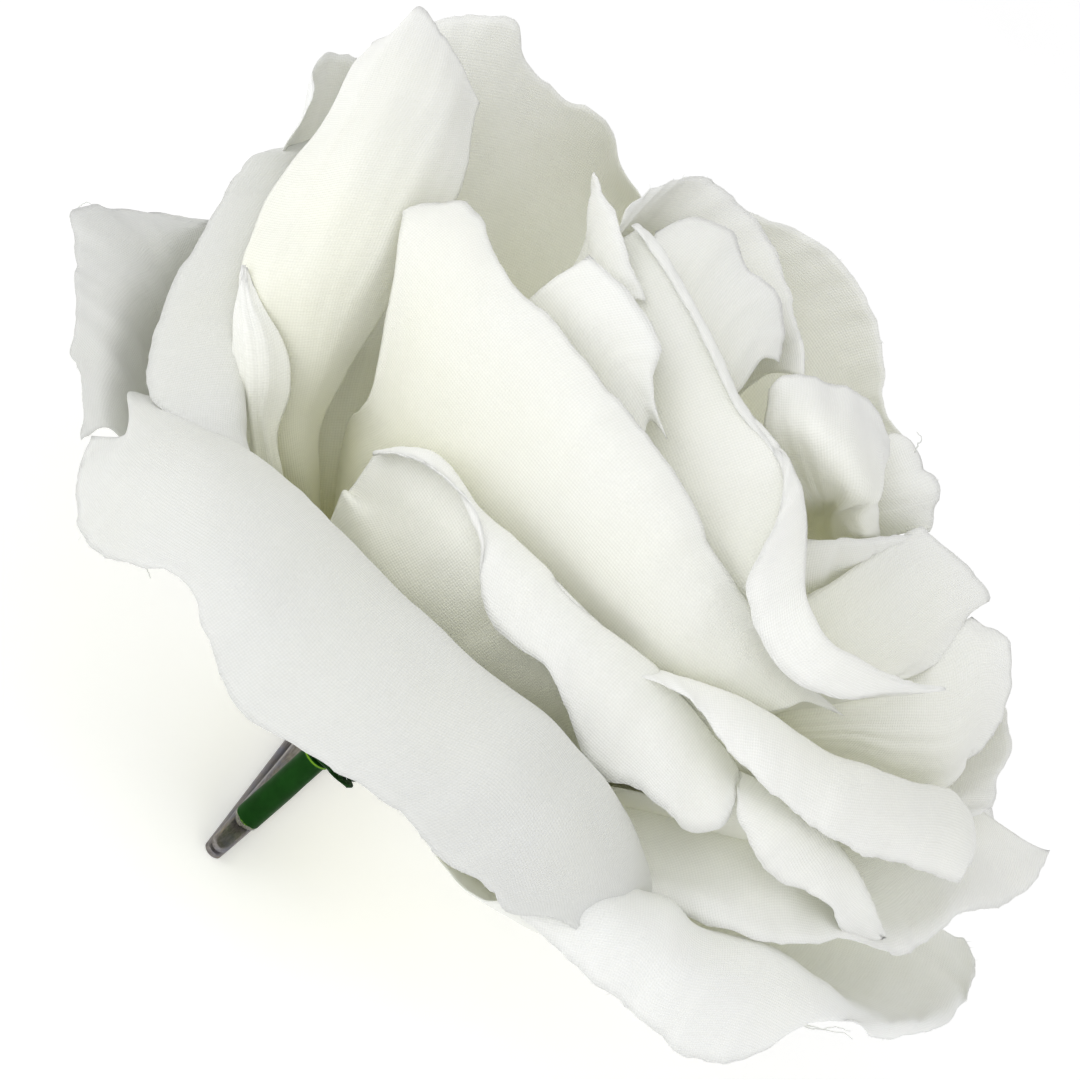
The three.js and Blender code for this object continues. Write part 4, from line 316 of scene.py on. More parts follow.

# ---------------------------------------------------------------- petal nets
# Each petal: rows of points from its root on the core to its free edge, in millimetres, and how its cloth looks,
# including which petals take the darker copies of the cloth that are painted shade.
PETALS = {
  # outer ring, broad petal turned down over the front
  "petal_outer_front": ([
    [[-3.0, -5.8, 20.5], [-1.8, -6.2, 20.5], [-0.6, -6.5, 20.5], [0.7, -6.5, 20.5], [2.0, -6.2, 20.5]],
    [[-10.1, -13.7, 27.1], [-7.3, -15.3, 27.1], [-4.3, -16.5, 27.1], [-1.0, -17.0, 27.1], [2.2, -16.9, 27.1], [5.4, -16.1, 27.1], [8.4, -14.8, 27.1]],
    [[-21.7, -22.1, 38.1], [-16.2, -26.4, 38.1], [-9.8, -29.4, 38.1], [-3.0, -30.9, 38.1], [4.0, -30.7, 38.1], [10.9, -29.0, 38.1], [17.1, -25.9, 38.1]],
    [[-28.8, -26.3, 49.1], [-21.6, -32.5, 49.1], [-13.2, -36.7, 49.1], [-4.1, -38.8, 49.1], [5.3, -38.6, 49.1], [14.4, -36.2, 49.1], [22.6, -31.8, 49.1]],
    [[-40.8, -25.2, 44.4], [-35.8, -30.5, 49.9], [-29.9, -34.7, 53.7], [-20.5, -39.1, 57.5], [-9.4, -42.6, 59.7], [1.7, -43.6, 61.3], [11.1, -42.5, 62.6], [20.7, -38.9, 59.9], [27.9, -34.2, 55.4], [32.8, -29.5, 49.6]],
    [[-41.4, -28.7, 45.0], [-36.7, -35.4, 49.4], [-29.9, -41.7, 53.8], [-20.6, -46.6, 57.4], [-9.6, -49.6, 58.8], [1.4, -50.1, 59.8], [10.6, -49.5, 61.4], [20.2, -45.9, 59.2], [27.3, -40.2, 55.4], [32.8, -32.5, 50.5]],
    [[-38.5, -33.9, 45.0], [-37.2, -39.4, 45.1], [-31.0, -45.7, 48.6], [-20.8, -53.1, 53.7], [-9.8, -55.6, 53.8], [1.1, -56.1, 55.9], [10.3, -54.5, 56.8], [19.8, -50.9, 55.2], [27.0, -44.2, 53.3], [32.6, -35.5, 51.5]],
    [[-40.6, -34.3, 41.9], [-39.0, -37.3, 39.7], [-35.2, -42.5, 38.9], [-32.3, -45.6, 39.5], [-28.3, -49.8, 44.2], [-22.7, -54.1, 49.7], [-18.6, -56.2, 48.7], [-10.9, -58.6, 47.1], [-5.4, -59.8, 49.6], [1.8, -60.1, 51.9], [8.3, -58.4, 52.4], [12.0, -57.6, 51.4], [16.7, -55.8, 51.8], [21.7, -52.0, 50.3], [24.3, -49.1, 50.9], [28.9, -44.3, 50.7], [31.8, -39.4, 51.6], [32.7, -36.5, 51.8]],
  ], {'outer': True, 'tone': (0.6, 1.0), 'crease': 0.8}),
  # outer ring, its near half rolled under, its far half cupped
  "petal_outer_front_right": ([
    [[3.7, -5.7, 20.3], [4.7, -4.9, 20.3], [5.6, -3.9, 20.3], [6.2, -2.7, 20.3], [6.6, -1.5, 20.3]],
    [[9.4, -14.2, 27.1], [11.6, -12.5, 27.1], [13.4, -10.4, 27.1], [14.9, -8.1, 27.1], [16.1, -5.6, 27.1], [16.8, -2.9, 27.1], [17.0, -0.1, 27.1]],
    [[15.8, -27.9, 34.1], [20.8, -24.3, 34.1], [25.0, -19.9, 34.1], [28.4, -14.8, 34.1], [30.7, -9.1, 34.1], [31.9, -3.1, 34.1], [31.9, 3.1, 34.1]],
    [[20.3, -39.0, 41.1], [28.0, -34.0, 41.1], [34.4, -27.4, 41.1], [39.4, -19.6, 41.1], [42.6, -11.0, 41.1], [44.0, -1.9, 41.1], [43.4, 7.3, 41.1]],
    [[23.4, -42.1, 52.8], [29.3, -39.8, 54.1], [32.2, -38.4, 54.9], [37.7, -35.7, 53.9], [44.6, -30.0, 55.1], [50.2, -24.2, 54.4], [56.3, -15.5, 51.5], [60.8, -5.7, 50.0], [62.0, 3.3, 50.4], [59.2, 12.4, 50.5]],
    [[22.3, -45.0, 51.2], [28.9, -44.3, 52.8], [33.7, -42.5, 52.8], [39.7, -39.8, 52.2], [46.1, -34.0, 52.1], [51.9, -26.3, 53.3], [57.2, -16.5, 51.4], [62.5, -6.7, 51.6], [63.8, 3.2, 52.1], [60.7, 12.4, 51.0]],
    [[21.7, -47.0, 47.9], [27.9, -46.3, 47.8], [37.4, -42.7, 47.0], [46.1, -37.5, 45.6], [50.4, -32.2, 47.2], [51.6, -27.3, 51.5], [55.6, -20.4, 52.3], [60.2, -13.6, 49.8], [64.8, -2.8, 51.9], [64.3, 5.2, 53.5], [61.8, 12.3, 51.9]],
  ], {'cool_painted_shade': True, 'tone': (0.6, 1.0)}),
  # outer ring, drooping to the left
  "petal_outer_far_left": ([
    [[-6.9, 1.0, 19.9], [-7.0, -0.3, 19.9], [-6.8, -1.6, 19.9], [-6.4, -2.9, 19.9], [-5.7, -4.1, 19.9]],
    [[-17.8, 2.7, 26.1], [-18.0, -0.9, 26.1], [-17.4, -4.5, 26.1], [-16.2, -7.9, 26.1], [-14.3, -11.0, 26.1]],
    [[-37.4, 6.9, 35.1], [-38.0, -1.0, 35.1], [-37.0, -8.9, 35.1], [-34.3, -16.4, 35.1], [-30.1, -23.1, 35.1]],
    [[-49.0, -0.9, 51.2], [-51.9, -6.7, 48.5], [-51.7, -13.8, 46.6], [-47.6, -22.9, 44.9], [-40.7, -32.3, 42.2]],
    [[-49.5, -0.8, 51.2], [-54.1, -1.6, 47.0], [-57.6, -3.5, 44.6], [-59.0, -5.4, 44.6], [-59.7, -7.4, 43.4], [-57.4, -10.5, 42.8], [-53.9, -16.7, 42.9], [-50.0, -22.8, 42.3], [-48.8, -24.9, 41.4], [-46.5, -27.0, 41.7], [-43.7, -30.1, 41.1], [-41.2, -32.7, 39.7]],
  ], {'deepest_painted_shade': True, 'tone': (0.5, 1.0)}),
  # outer ring, back right
  "petal_outer_back_right": ([
    [[7.5, -0.1, 19.6], [7.4, 1.4, 19.6], [6.9, 2.9, 19.6], [6.2, 4.2, 19.6], [5.3, 5.3, 19.6]],
    [[27.0, -0.2, 28.1], [26.4, 5.6, 28.1], [24.6, 11.2, 28.1], [21.6, 16.2, 28.1], [17.5, 20.5, 28.1]],
    [[42.0, 1.1, 43.1], [40.8, 9.8, 43.1], [37.9, 18.1, 43.1], [33.3, 25.6, 43.1], [27.3, 31.9, 43.1]],
    [[50.0, 2.2, 54.1], [48.5, 12.3, 54.1], [44.9, 21.9, 54.1], [39.5, 30.6, 54.1], [32.5, 38.0, 54.1]],
    [[58.9, 9.4, 58.2], [58.9, 18.4, 58.7], [57.2, 23.5, 58.1], [55.2, 28.6, 57.0], [48.6, 38.9, 57.0], [42.9, 45.2, 56.6]],
  ], {}),
  # outer ring, back
  "petal_outer_back": ([
    [[2.3, 7.2, 19.6], [0.8, 7.5, 19.6], [-0.7, 7.5, 19.6], [-2.1, 7.2, 19.6], [-3.5, 6.7, 19.6]],
    [[11.2, 24.6, 29.1], [6.2, 26.3, 29.1], [1.0, 27.0, 29.1], [-4.3, 26.7, 29.1], [-9.4, 25.3, 29.1], [-14.1, 23.0, 29.1]],
    [[19.4, 37.3, 46.1], [11.1, 40.5, 46.1], [2.3, 41.9, 46.1], [-6.6, 41.5, 46.1], [-15.3, 39.1, 46.1], [-23.2, 35.0, 46.1]],
    [[22.2, 42.6, 55.1], [12.7, 46.3, 55.1], [2.6, 47.9, 55.1], [-7.6, 47.4, 55.1], [-17.4, 44.7, 55.1], [-26.5, 40.0, 55.1]],
    [[24.5, 49.2, 54.1], [14.1, 53.2, 54.1], [3.2, 54.9, 54.1], [-7.9, 54.4, 54.1], [-18.7, 51.7, 54.1], [-28.7, 46.9, 54.1]],
    [[25.8, 54.2, 49.1], [15.0, 58.1, 49.1], [3.7, 59.9, 49.1], [-7.8, 59.5, 49.1], [-19.0, 56.9, 49.1], [-29.5, 52.2, 49.1]],
  ], {}),
  # outer ring, back left
  "petal_outer_back_left": ([
    [[-3.5, 6.7, 19.6], [-4.7, 5.8, 19.6], [-5.7, 4.8, 19.6], [-6.6, 3.6, 19.6], [-7.2, 2.3, 19.6]],
    [[-11.6, 24.4, 28.1], [-15.7, 22.0, 28.1], [-19.3, 18.9, 28.1], [-22.3, 15.3, 28.1], [-24.6, 11.2, 28.1], [-26.1, 6.8, 28.1]],
    [[-18.5, 38.8, 45.1], [-25.2, 34.8, 45.1], [-31.1, 29.7, 45.1], [-35.9, 23.6, 45.1], [-39.6, 16.7, 45.1], [-42.0, 9.3, 45.1]],
    [[-22.2, 42.6, 54.1], [-28.4, 38.7, 54.1], [-34.0, 33.9, 54.1], [-38.8, 28.3, 54.1], [-42.7, 22.0, 54.1], [-45.5, 15.2, 54.1]],
    [[-24.5, 47.0, 50.1], [-30.5, 43.4, 50.1], [-35.9, 39.0, 50.1], [-40.8, 33.9, 50.1], [-44.9, 28.2, 50.1], [-48.2, 22.0, 50.1]],
    [[-26.2, 48.3, 46.1], [-31.9, 44.8, 46.1], [-37.2, 40.6, 46.1], [-41.8, 35.7, 46.1], [-45.9, 30.4, 46.1], [-49.2, 24.5, 46.1]],
  ], {'outer': True, 'tone': (0.4, 1.0)}),
  # second ring, left
  "petal_second_left": ([
    [[-6.8, -1.6, 21.1], [-6.6, -2.5, 21.1], [-6.2, -3.2, 21.1], [-5.8, -4.0, 21.1], [-5.2, -4.6, 21.1]],
    [[-23.9, -2.3, 33.1], [-23.1, -6.4, 33.1], [-21.7, -10.3, 33.1], [-19.5, -13.9, 33.1], [-16.8, -17.1, 33.1]],
    [[-38.0, -1.0, 46.1], [-37.0, -8.5, 46.1], [-34.6, -15.8, 46.1], [-30.7, -22.3, 46.1], [-25.7, -28.0, 46.1]],
    [[-47.7, 4.1, 64.1], [-46.5, -5.0, 63.0], [-43.9, -14.1, 61.0], [-40.4, -21.3, 58.1], [-37.1, -26.4, 55.3], [-31.8, -31.6, 53.7], [-27.1, -33.8, 52.6]],
    [[-48.7, 4.1, 64.1], [-49.9, 0.2, 62.7], [-51.0, -3.8, 61.4], [-50.7, -6.8, 59.6], [-48.9, -12.9, 57.2], [-45.8, -22.0, 51.8], [-43.1, -26.6, 49.2], [-39.6, -31.3, 48.2], [-32.8, -35.1, 51.8], [-27.1, -35.9, 52.6]],
  ], {'outer': True, 'tone': (0.4, 0.95)}),
  # second ring, right, with a long rolled rim
  "petal_second_right": ([
    [[3.1, -6.0, 21.6], [4.6, -5.0, 21.6], [5.8, -3.6, 21.6], [6.5, -1.9, 21.6], [6.8, -0.1, 21.6]],
    [[8.8, -20.2, 33.1], [12.8, -17.9, 33.1], [16.2, -14.9, 33.1], [19.0, -11.2, 33.1], [20.9, -7.0, 33.1], [21.9, -2.5, 33.1], [21.9, 2.1, 33.1]],
    [[14.4, -21.6, 50.4], [21.7, -22.0, 55.3], [29.7, -18.3, 57.7], [37.2, -12.6, 58.5], [42.8, -6.9, 59.8], [46.3, 1.0, 61.8], [45.0, 7.0, 63.9]],
    [[23.4, -32.0, 52.7], [28.1, -30.8, 52.6], [33.1, -29.0, 55.7], [39.6, -24.8, 59.4], [45.3, -19.0, 59.0], [49.3, -14.2, 59.0], [53.2, -6.3, 59.4], [54.9, 2.6, 61.1], [58.0, 11.5, 62.5], [60.3, 17.4, 63.4]],
    [[24.1, -34.1, 52.7], [28.6, -32.8, 52.3], [35.8, -31.1, 55.6], [42.0, -26.9, 57.6], [46.8, -22.1, 59.3], [51.0, -16.2, 59.2], [55.1, -7.4, 59.9], [56.1, 0.6, 60.9], [59.5, 9.4, 62.2], [60.7, 17.4, 63.8]],
    [[24.6, -34.6, 51.9], [32.5, -32.9, 52.2], [40.2, -30.8, 55.4], [45.3, -27.0, 57.6], [48.8, -22.2, 59.7], [54.5, -14.4, 58.6], [56.4, -7.5, 59.4], [56.6, -2.5, 60.2], [60.4, 5.4, 61.6], [61.5, 11.3, 62.9], [60.9, 17.4, 64.1]],
  ], {}),
  # second ring, back left
  "petal_second_back_left": ([
    [[-5.8, 2.7, 22.1], [-6.1, 1.9, 22.1], [-6.3, 1.1, 22.1], [-6.4, 0.2, 22.1], [-6.4, -0.6, 22.1]],
    [[-21.5, 10.7, 35.1], [-22.8, 7.4, 35.1], [-23.7, 4.0, 35.1], [-24.0, 0.4, 35.1], [-23.8, -3.1, 35.1]],
    [[-36.4, 16.6, 52.1], [-38.4, 11.4, 52.1], [-39.6, 5.9, 52.1], [-40.0, 0.3, 52.1], [-39.7, -5.2, 52.1]],
    [[-46.3, 22.0, 59.9], [-48.0, 13.1, 62.0], [-48.8, 5.1, 61.4], [-48.2, -1.9, 59.3]],
    [[-47.2, 23.1, 65.7], [-50.8, 14.2, 69.6], [-54.1, 7.4, 69.5], [-53.5, 4.3, 68.7], [-51.8, 2.3, 68.3], [-49.7, -1.8, 64.3]],
  ], {'cool_painted_shade': True, 'tone': (0.4, 1.0)}),
  # second ring, back right
  "petal_second_back_right": ([
    [[5.8, 3.0, 22.1], [5.1, 4.1, 22.1], [4.2, 5.0, 22.1], [3.1, 5.7, 22.1], [2.0, 6.2, 22.1]],
    [[22.2, 9.2, 35.1], [20.0, 13.2, 35.1], [17.1, 16.8, 35.1], [13.6, 19.8, 35.1], [9.6, 22.0, 35.1], [5.2, 23.4, 35.1]],
    [[34.4, 13.6, 51.1], [31.0, 20.2, 51.1], [26.3, 26.0, 51.1], [20.5, 30.8, 51.1], [13.9, 34.3, 51.1], [6.7, 36.4, 51.1]],
    [[39.1, 15.4, 64.1], [35.2, 22.9, 64.1], [29.9, 29.5, 64.1], [23.3, 34.9, 64.1], [15.8, 38.9, 64.1], [7.7, 41.3, 64.1]],
    [[44.3, 18.4, 63.1], [40.0, 26.5, 63.1], [34.2, 33.6, 63.1], [27.2, 39.6, 63.1], [19.1, 44.0, 63.1], [10.4, 46.9, 63.1]],
    [[46.0, 22.0, 59.1], [41.5, 29.6, 59.1], [35.7, 36.4, 59.1], [28.9, 42.0, 59.1], [21.1, 46.4, 59.1], [12.8, 49.4, 59.1]],
  ], {}),
  # second ring, back
  "petal_second_back": ([
    [[0.3, 6.5, 22.1], [-1.1, 6.4, 22.1], [-2.4, 6.0, 22.1], [-3.6, 5.4, 22.1], [-4.6, 4.6, 22.1]],
    [[2.7, 23.8, 35.1], [-2.0, 23.9, 35.1], [-6.6, 23.1, 35.1], [-10.9, 21.4, 35.1], [-14.9, 18.8, 35.1], [-18.2, 15.6, 35.1]],
    [[5.3, 35.6, 51.1], [-2.2, 35.9, 51.1], [-9.6, 34.7, 51.1], [-16.6, 31.9, 51.1], [-22.9, 27.8, 51.1], [-28.2, 22.4, 51.1]],
    [[5.4, 40.6, 64.1], [-3.1, 40.9, 64.1], [-11.4, 39.4, 64.1], [-19.2, 36.2, 64.1], [-26.2, 31.5, 64.1], [-32.1, 25.5, 64.1]],
    [[5.3, 46.7, 64.1], [-3.9, 46.8, 64.1], [-12.9, 45.2, 64.1], [-21.4, 41.8, 64.1], [-29.1, 36.9, 64.1], [-35.7, 30.5, 64.1]],
    [[2.2, 50.0, 60.1], [-6.5, 49.6, 60.1], [-15.0, 47.7, 60.1], [-23.1, 44.4, 60.1], [-30.4, 39.7, 60.1], [-36.9, 33.8, 60.1]],
  ], {}),
  # third ring, left, narrow
  "petal_third_left": ([
    [[-5.8, -2.8, 22.1], [-5.5, -3.3, 22.1], [-5.1, -3.9, 22.1], [-4.6, -4.4, 22.1], [-4.2, -4.9, 22.1]],
    [[-25.8, -22.9, 43.0], [-23.0, -23.0, 44.0], [-20.9, -22.1, 45.2]],
    [[-29.3, -24.7, 48.2], [-27.3, -25.8, 49.6], [-24.5, -24.5, 49.2]],
    [[-32.8, -26.1, 51.7], [-31.2, -27.7, 53.8], [-28.5, -25.8, 53.1]],
    [[-35.7, -26.0, 54.1], [-33.6, -28.1, 57.0], [-30.8, -25.2, 57.3]],
    [[-38.4, -24.9, 56.5], [-36.6, -26.9, 59.1], [-34.0, -24.5, 59.4]],
    [[-40.7, -23.2, 58.6], [-39.6, -24.8, 60.2], [-38.5, -23.8, 60.3]],
    [[-42.8, -21.9, 60.7], [-42.8, -22.1, 61.2], [-42.4, -21.9, 61.1]],
  ], {}),
  # third ring, short sliver at the front left
  "petal_third_front_left": ([
    [[-4.8, -3.7, 23.1], [-4.5, -3.9, 23.1], [-4.3, -4.2, 23.1], [-4.0, -4.5, 23.1], [-3.7, -4.7, 23.1]],
    [[-18.2, -6.2, 36.1], [-16.4, -6.3, 37.5], [-14.6, -5.4, 39.2]],
    [[-23.4, -10.0, 42.4], [-21.0, -9.1, 44.8], [-19.3, -7.2, 47.6]],
    [[-27.7, -11.8, 48.4], [-25.7, -9.9, 51.6], [-23.6, -7.0, 54.4]],
    [[-31.4, -11.6, 55.8], [-29.4, -9.7, 59.0], [-27.9, -6.8, 61.1]],
    [[-33.2, -9.6, 61.0], [-31.8, -7.6, 63.5], [-30.9, -5.7, 65.2]],
  ], {}),
  # third ring, front right, with a hanging lobe
  "petal_third_front_right": ([
    [[3.2, -5.3, 22.6], [4.0, -4.7, 22.6], [4.7, -4.0, 22.6], [5.3, -3.2, 22.6], [5.7, -2.4, 22.6]],
    [[10.6, -20.4, 36.1], [14.3, -18.0, 36.1], [17.5, -14.9, 36.1], [20.0, -11.3, 36.1], [21.8, -7.3, 36.1]],
    [[17.3, -29.3, 52.1], [22.4, -25.6, 52.1], [26.8, -20.9, 52.1], [30.2, -15.6, 52.1], [32.6, -9.7, 52.1]],
    [[27.3, -28.2, 62.4], [34.1, -26.5, 63.5], [41.4, -21.8, 63.1], [47.9, -17.1, 60.6]],
    [[27.9, -28.2, 66.7], [33.9, -27.5, 68.5], [40.3, -24.3, 67.0], [47.4, -19.6, 63.0], [51.6, -15.8, 59.6]],
    [[28.4, -30.8, 66.9], [33.1, -31.0, 67.4], [39.7, -27.8, 65.3], [46.2, -22.0, 62.0], [51.1, -17.2, 59.8]],
    [[28.4, -31.3, 66.9], [29.5, -32.3, 66.3], [30.8, -32.9, 65.2], [33.2, -33.0, 64.3], [38.5, -30.2, 62.5], [41.7, -27.3, 62.5], [44.4, -25.0, 62.0], [47.2, -22.6, 59.9], [49.2, -20.7, 59.0], [51.6, -16.8, 59.9]],
  ], {}),
  # third ring, right
  "petal_third_right": ([
    [[6.2, 0.3, 23.6], [6.1, 1.2, 23.6], [5.8, 2.1, 23.6], [5.4, 3.0, 23.6], [4.9, 3.8, 23.6]],
    [[23.9, -1.9, 39.1], [23.9, 2.3, 39.1], [23.1, 6.4, 39.1], [21.7, 10.3, 39.1], [19.5, 13.9, 39.1]],
    [[39.9, -3.1, 53.1], [39.8, 3.5, 53.1], [38.7, 10.0, 53.1], [36.5, 16.3, 53.1], [33.4, 22.1, 53.1]],
    [[47.5, -2.1, 65.2], [48.1, 6.9, 65.3], [45.7, 17.0, 66.1], [42.2, 23.2, 67.9]],
    [[50.3, 2.8, 66.7], [51.7, 7.8, 67.7], [50.4, 10.8, 68.3], [49.3, 14.9, 70.0], [46.5, 18.5, 70.8], [42.0, 22.2, 71.7]],
  ], {}),
  # third ring, front, with a wavy turned-down lip
  "petal_third_front": ([
    [[-2.7, -6.0, 22.6], [-1.2, -6.5, 22.6], [0.5, -6.6, 22.6], [2.1, -6.3, 22.6], [3.5, -5.6, 22.6]],
    [[-12.9, -20.2, 38.1], [-8.5, -22.4, 38.1], [-3.8, -23.7, 38.1], [1.0, -24.0, 38.1], [5.9, -23.3, 38.1], [10.5, -21.6, 38.1], [14.6, -19.0, 38.1]],
    [[-19.3, -28.0, 55.1], [-12.8, -31.5, 55.1], [-5.8, -33.5, 55.1], [1.5, -34.0, 55.1], [8.7, -32.9, 55.1], [15.5, -30.2, 55.1], [21.6, -26.2, 55.1]],
    [[-18.9, -27.2, 55.3], [-14.7, -30.4, 60.2], [-7.2, -34.2, 63.6], [1.2, -36.1, 64.4], [9.6, -36.0, 64.2], [17.3, -33.8, 63.4], [26.3, -29.2, 59.7]],
    [[-20.1, -28.1, 61.5], [-17.9, -29.7, 65.4], [-15.6, -30.9, 67.2], [-9.3, -33.4, 68.2], [-1.4, -34.8, 69.6], [6.9, -35.1, 70.1], [13.5, -33.9, 70.2], [21.1, -31.4, 68.9], [27.5, -28.2, 66.2]],
    [[-20.3, -29.1, 61.8], [-17.9, -31.2, 65.5], [-14.7, -32.9, 67.6], [-8.2, -36.0, 68.4], [-1.7, -37.3, 68.2], [6.7, -37.8, 68.4], [13.3, -37.1, 67.8], [21.4, -34.5, 67.2], [27.9, -30.7, 66.5]],
    [[-20.2, -29.6, 61.2], [-18.0, -32.0, 65.1], [-15.1, -33.7, 67.7], [-8.0, -36.7, 68.7], [-5.9, -37.8, 67.5], [-4.7, -38.4, 65.9], [-2.7, -38.9, 64.1], [0.5, -39.6, 63.2], [6.3, -40.3, 65.0], [12.0, -39.6, 62.5], [15.1, -38.7, 60.7], [18.2, -37.8, 59.9], [22.0, -37.0, 61.6], [25.2, -36.1, 61.7], [28.4, -34.8, 61.4], [30.1, -33.3, 63.5], [29.3, -31.8, 65.8]],
  ], {}),
  # fourth ring, front right, with a turned-down lip
  "petal_fourth_front_right": ([
    [[1.4, -5.6, 24.1], [2.7, -5.1, 24.1], [3.9, -4.3, 24.1], [4.9, -3.2, 24.1], [5.5, -1.8, 24.1]],
    [[4.2, -20.6, 38.1], [7.9, -19.4, 38.1], [11.4, -17.6, 38.1], [14.5, -15.2, 38.1], [17.0, -12.3, 38.1], [19.0, -8.9, 38.1], [20.3, -5.3, 38.1]],
    [[7.2, -30.1, 55.1], [13.0, -28.1, 55.1], [18.3, -25.0, 55.1], [22.9, -20.9, 55.1], [26.5, -16.0, 55.1], [29.2, -10.5, 55.1], [30.7, -4.6, 55.1]],
    [[11.8, -32.0, 63.7], [17.5, -30.8, 65.0], [25.3, -28.1, 65.6], [33.4, -23.5, 66.3], [41.1, -14.8, 66.1], [46.3, -5.0, 63.9]],
    [[12.1, -33.1, 68.4], [14.4, -32.7, 69.9], [20.0, -31.9, 72.9], [26.4, -29.2, 74.2], [33.7, -25.5, 74.2], [40.0, -18.8, 74.3], [44.4, -10.9, 73.1], [48.1, -4.1, 70.5], [50.3, 0.8, 67.4]],
    [[12.5, -34.4, 68.9], [15.2, -34.5, 70.7], [21.3, -34.5, 72.7], [27.5, -32.7, 73.2], [34.4, -29.5, 73.3], [42.0, -21.9, 72.8], [47.2, -13.6, 71.6], [50.3, -4.7, 69.7], [50.7, -0.2, 67.5]],
    [[12.4, -35.4, 68.7], [17.7, -35.8, 71.6], [26.2, -35.2, 70.8], [32.0, -33.4, 70.4], [41.1, -26.8, 68.9], [46.5, -19.0, 68.0], [50.1, -12.7, 66.8], [51.8, -10.3, 66.3], [53.4, -6.3, 65.9], [52.6, -2.3, 66.7], [50.8, 0.8, 67.0]],
  ], {}),
  # fourth ring, tall pointed petal on the left
  "petal_fourth_left": ([
    [[-5.7, -1.8, 23.6], [-5.5, -2.3, 23.6], [-5.3, -2.9, 23.6], [-5.0, -3.4, 23.6], [-4.6, -3.8, 23.6]],
    [[-23.3, -16.0, 42.2], [-21.9, -17.1, 43.5], [-20.2, -16.6, 44.1], [-18.4, -13.2, 42.6]],
    [[-28.0, -20.8, 47.6], [-25.7, -20.9, 48.5], [-23.7, -19.5, 48.8], [-22.3, -16.0, 48.0]],
    [[-32.9, -22.6, 51.9], [-30.2, -22.7, 53.1], [-27.8, -21.3, 53.3], [-25.7, -17.4, 52.5]],
    [[-38.1, -22.9, 56.6], [-35.0, -23.5, 58.1], [-31.5, -22.6, 59.8], [-27.9, -17.8, 59.4]],
    [[-43.2, -20.1, 60.4], [-40.3, -22.8, 63.0], [-35.9, -22.5, 65.6], [-31.7, -19.1, 66.1], [-29.6, -15.7, 65.4]],
    [[-46.4, -14.5, 63.6], [-43.5, -17.1, 66.8], [-39.7, -19.3, 70.7], [-35.0, -17.0, 72.2], [-31.5, -11.6, 70.4]],
    [[-48.3, -6.9, 70.0], [-45.4, -11.5, 72.9], [-43.1, -13.6, 75.8], [-38.7, -11.3, 77.5], [-33.4, -6.6, 76.5]],
    [[-50.8, 0.2, 74.3], [-49.4, -2.3, 76.3], [-46.6, -4.0, 79.0], [-42.0, -3.2, 81.0], [-37.4, 1.6, 78.8]],
    [[-51.3, 4.2, 76.2], [-50.8, 6.2, 78.8], [-50.8, 8.2, 81.5], [-47.6, 6.6, 81.9], [-42.9, 5.4, 81.3], [-39.0, 5.7, 79.8]],
  ], {'tone': (0.25, 0.98)}),
  # fourth ring, right
  "petal_fourth_right": ([
    [[5.3, -1.7, 25.1], [5.6, -0.6, 25.1], [5.6, 0.5, 25.1], [5.4, 1.6, 25.1], [5.0, 2.6, 25.1]],
    [[18.2, -8.3, 40.1], [19.6, -4.2, 40.1], [20.0, 0.2, 40.1], [19.5, 4.5, 40.1], [18.1, 8.6, 40.1]],
    [[26.9, -14.2, 70.7], [28.8, -15.3, 69.3], [31.9, -13.4, 65.5]],
    [[30.0, -9.3, 73.3], [32.3, -12.4, 72.5], [36.9, -10.6, 67.3]],
    [[32.4, -1.9, 76.3], [35.4, -7.5, 75.5], [37.9, -8.7, 73.1], [42.3, -5.8, 67.4]],
    [[33.5, 0, 79.0], [37.3, -2.6, 78.4], [40.5, -3.8, 76.1], [46.1, -2.0, 69.0]],
    [[34.1, 2.0, 81.8], [38.5, 0.8, 81.3], [42.3, 0.7, 77.4], [46.0, 2.0, 70.7]],
    [[34.3, 3.0, 82.4], [36.1, 3.4, 82.6], [37.5, 3.4, 83.6], [38.8, 3.3, 83.8], [40.2, 3.2, 82.8], [42.3, 3.7, 80.5], [44.3, 4.1, 77.4], [45.1, 4.5, 75.9], [45.9, 4.5, 72.9], [45.9, 4.5, 70.6], [45.5, 4.0, 68.2], [44.2, 2.1, 67.2]],
  ], {}),
  # fourth ring, tall petal at the back left
  "petal_fourth_back_left": ([
    [[-3.2, 4.1, 25.1], [-3.9, 3.4, 25.1], [-4.5, 2.6, 25.1], [-4.9, 1.7, 25.1], [-5.2, 0.7, 25.1]],
    [[-9.2, 17.7, 41.1], [-12.7, 15.4, 41.1], [-15.7, 12.5, 41.1], [-17.9, 8.9, 41.1], [-19.4, 5.0, 41.1], [-20.0, 0.9, 41.1]],
    [[-13.8, 28.9, 57.1], [-19.5, 25.4, 57.1], [-24.3, 20.8, 57.1], [-28.1, 15.3, 57.1], [-30.7, 9.1, 57.1], [-31.9, 2.5, 57.1]],
    [[-18.5, 35.5, 69.1], [-24.6, 31.6, 69.1], [-29.9, 26.6, 69.1], [-34.2, 20.8, 69.1], [-37.4, 14.3, 69.1], [-39.3, 7.3, 69.1]],
    [[-17.3, 27.8, 75.9], [-23.4, 28.0, 76.6], [-26.4, 27.7, 78.3], [-29.5, 26.3, 79.9], [-34.6, 24.5, 79.0], [-39.5, 20.7, 80.4], [-42.9, 18.9, 83.4], [-46.9, 16.1, 81.2], [-49.5, 13.2, 77.5]],
  ], {'tone': (0.1, 1.0)}),
  # large smooth petal across the front of the cup
  "petal_cup_front": ([
    [[-5.2, -2.1, 25.6], [-3.5, -4.4, 25.6], [-0.9, -5.5, 25.6], [1.9, -5.3, 25.6], [4.3, -3.6, 25.6]],
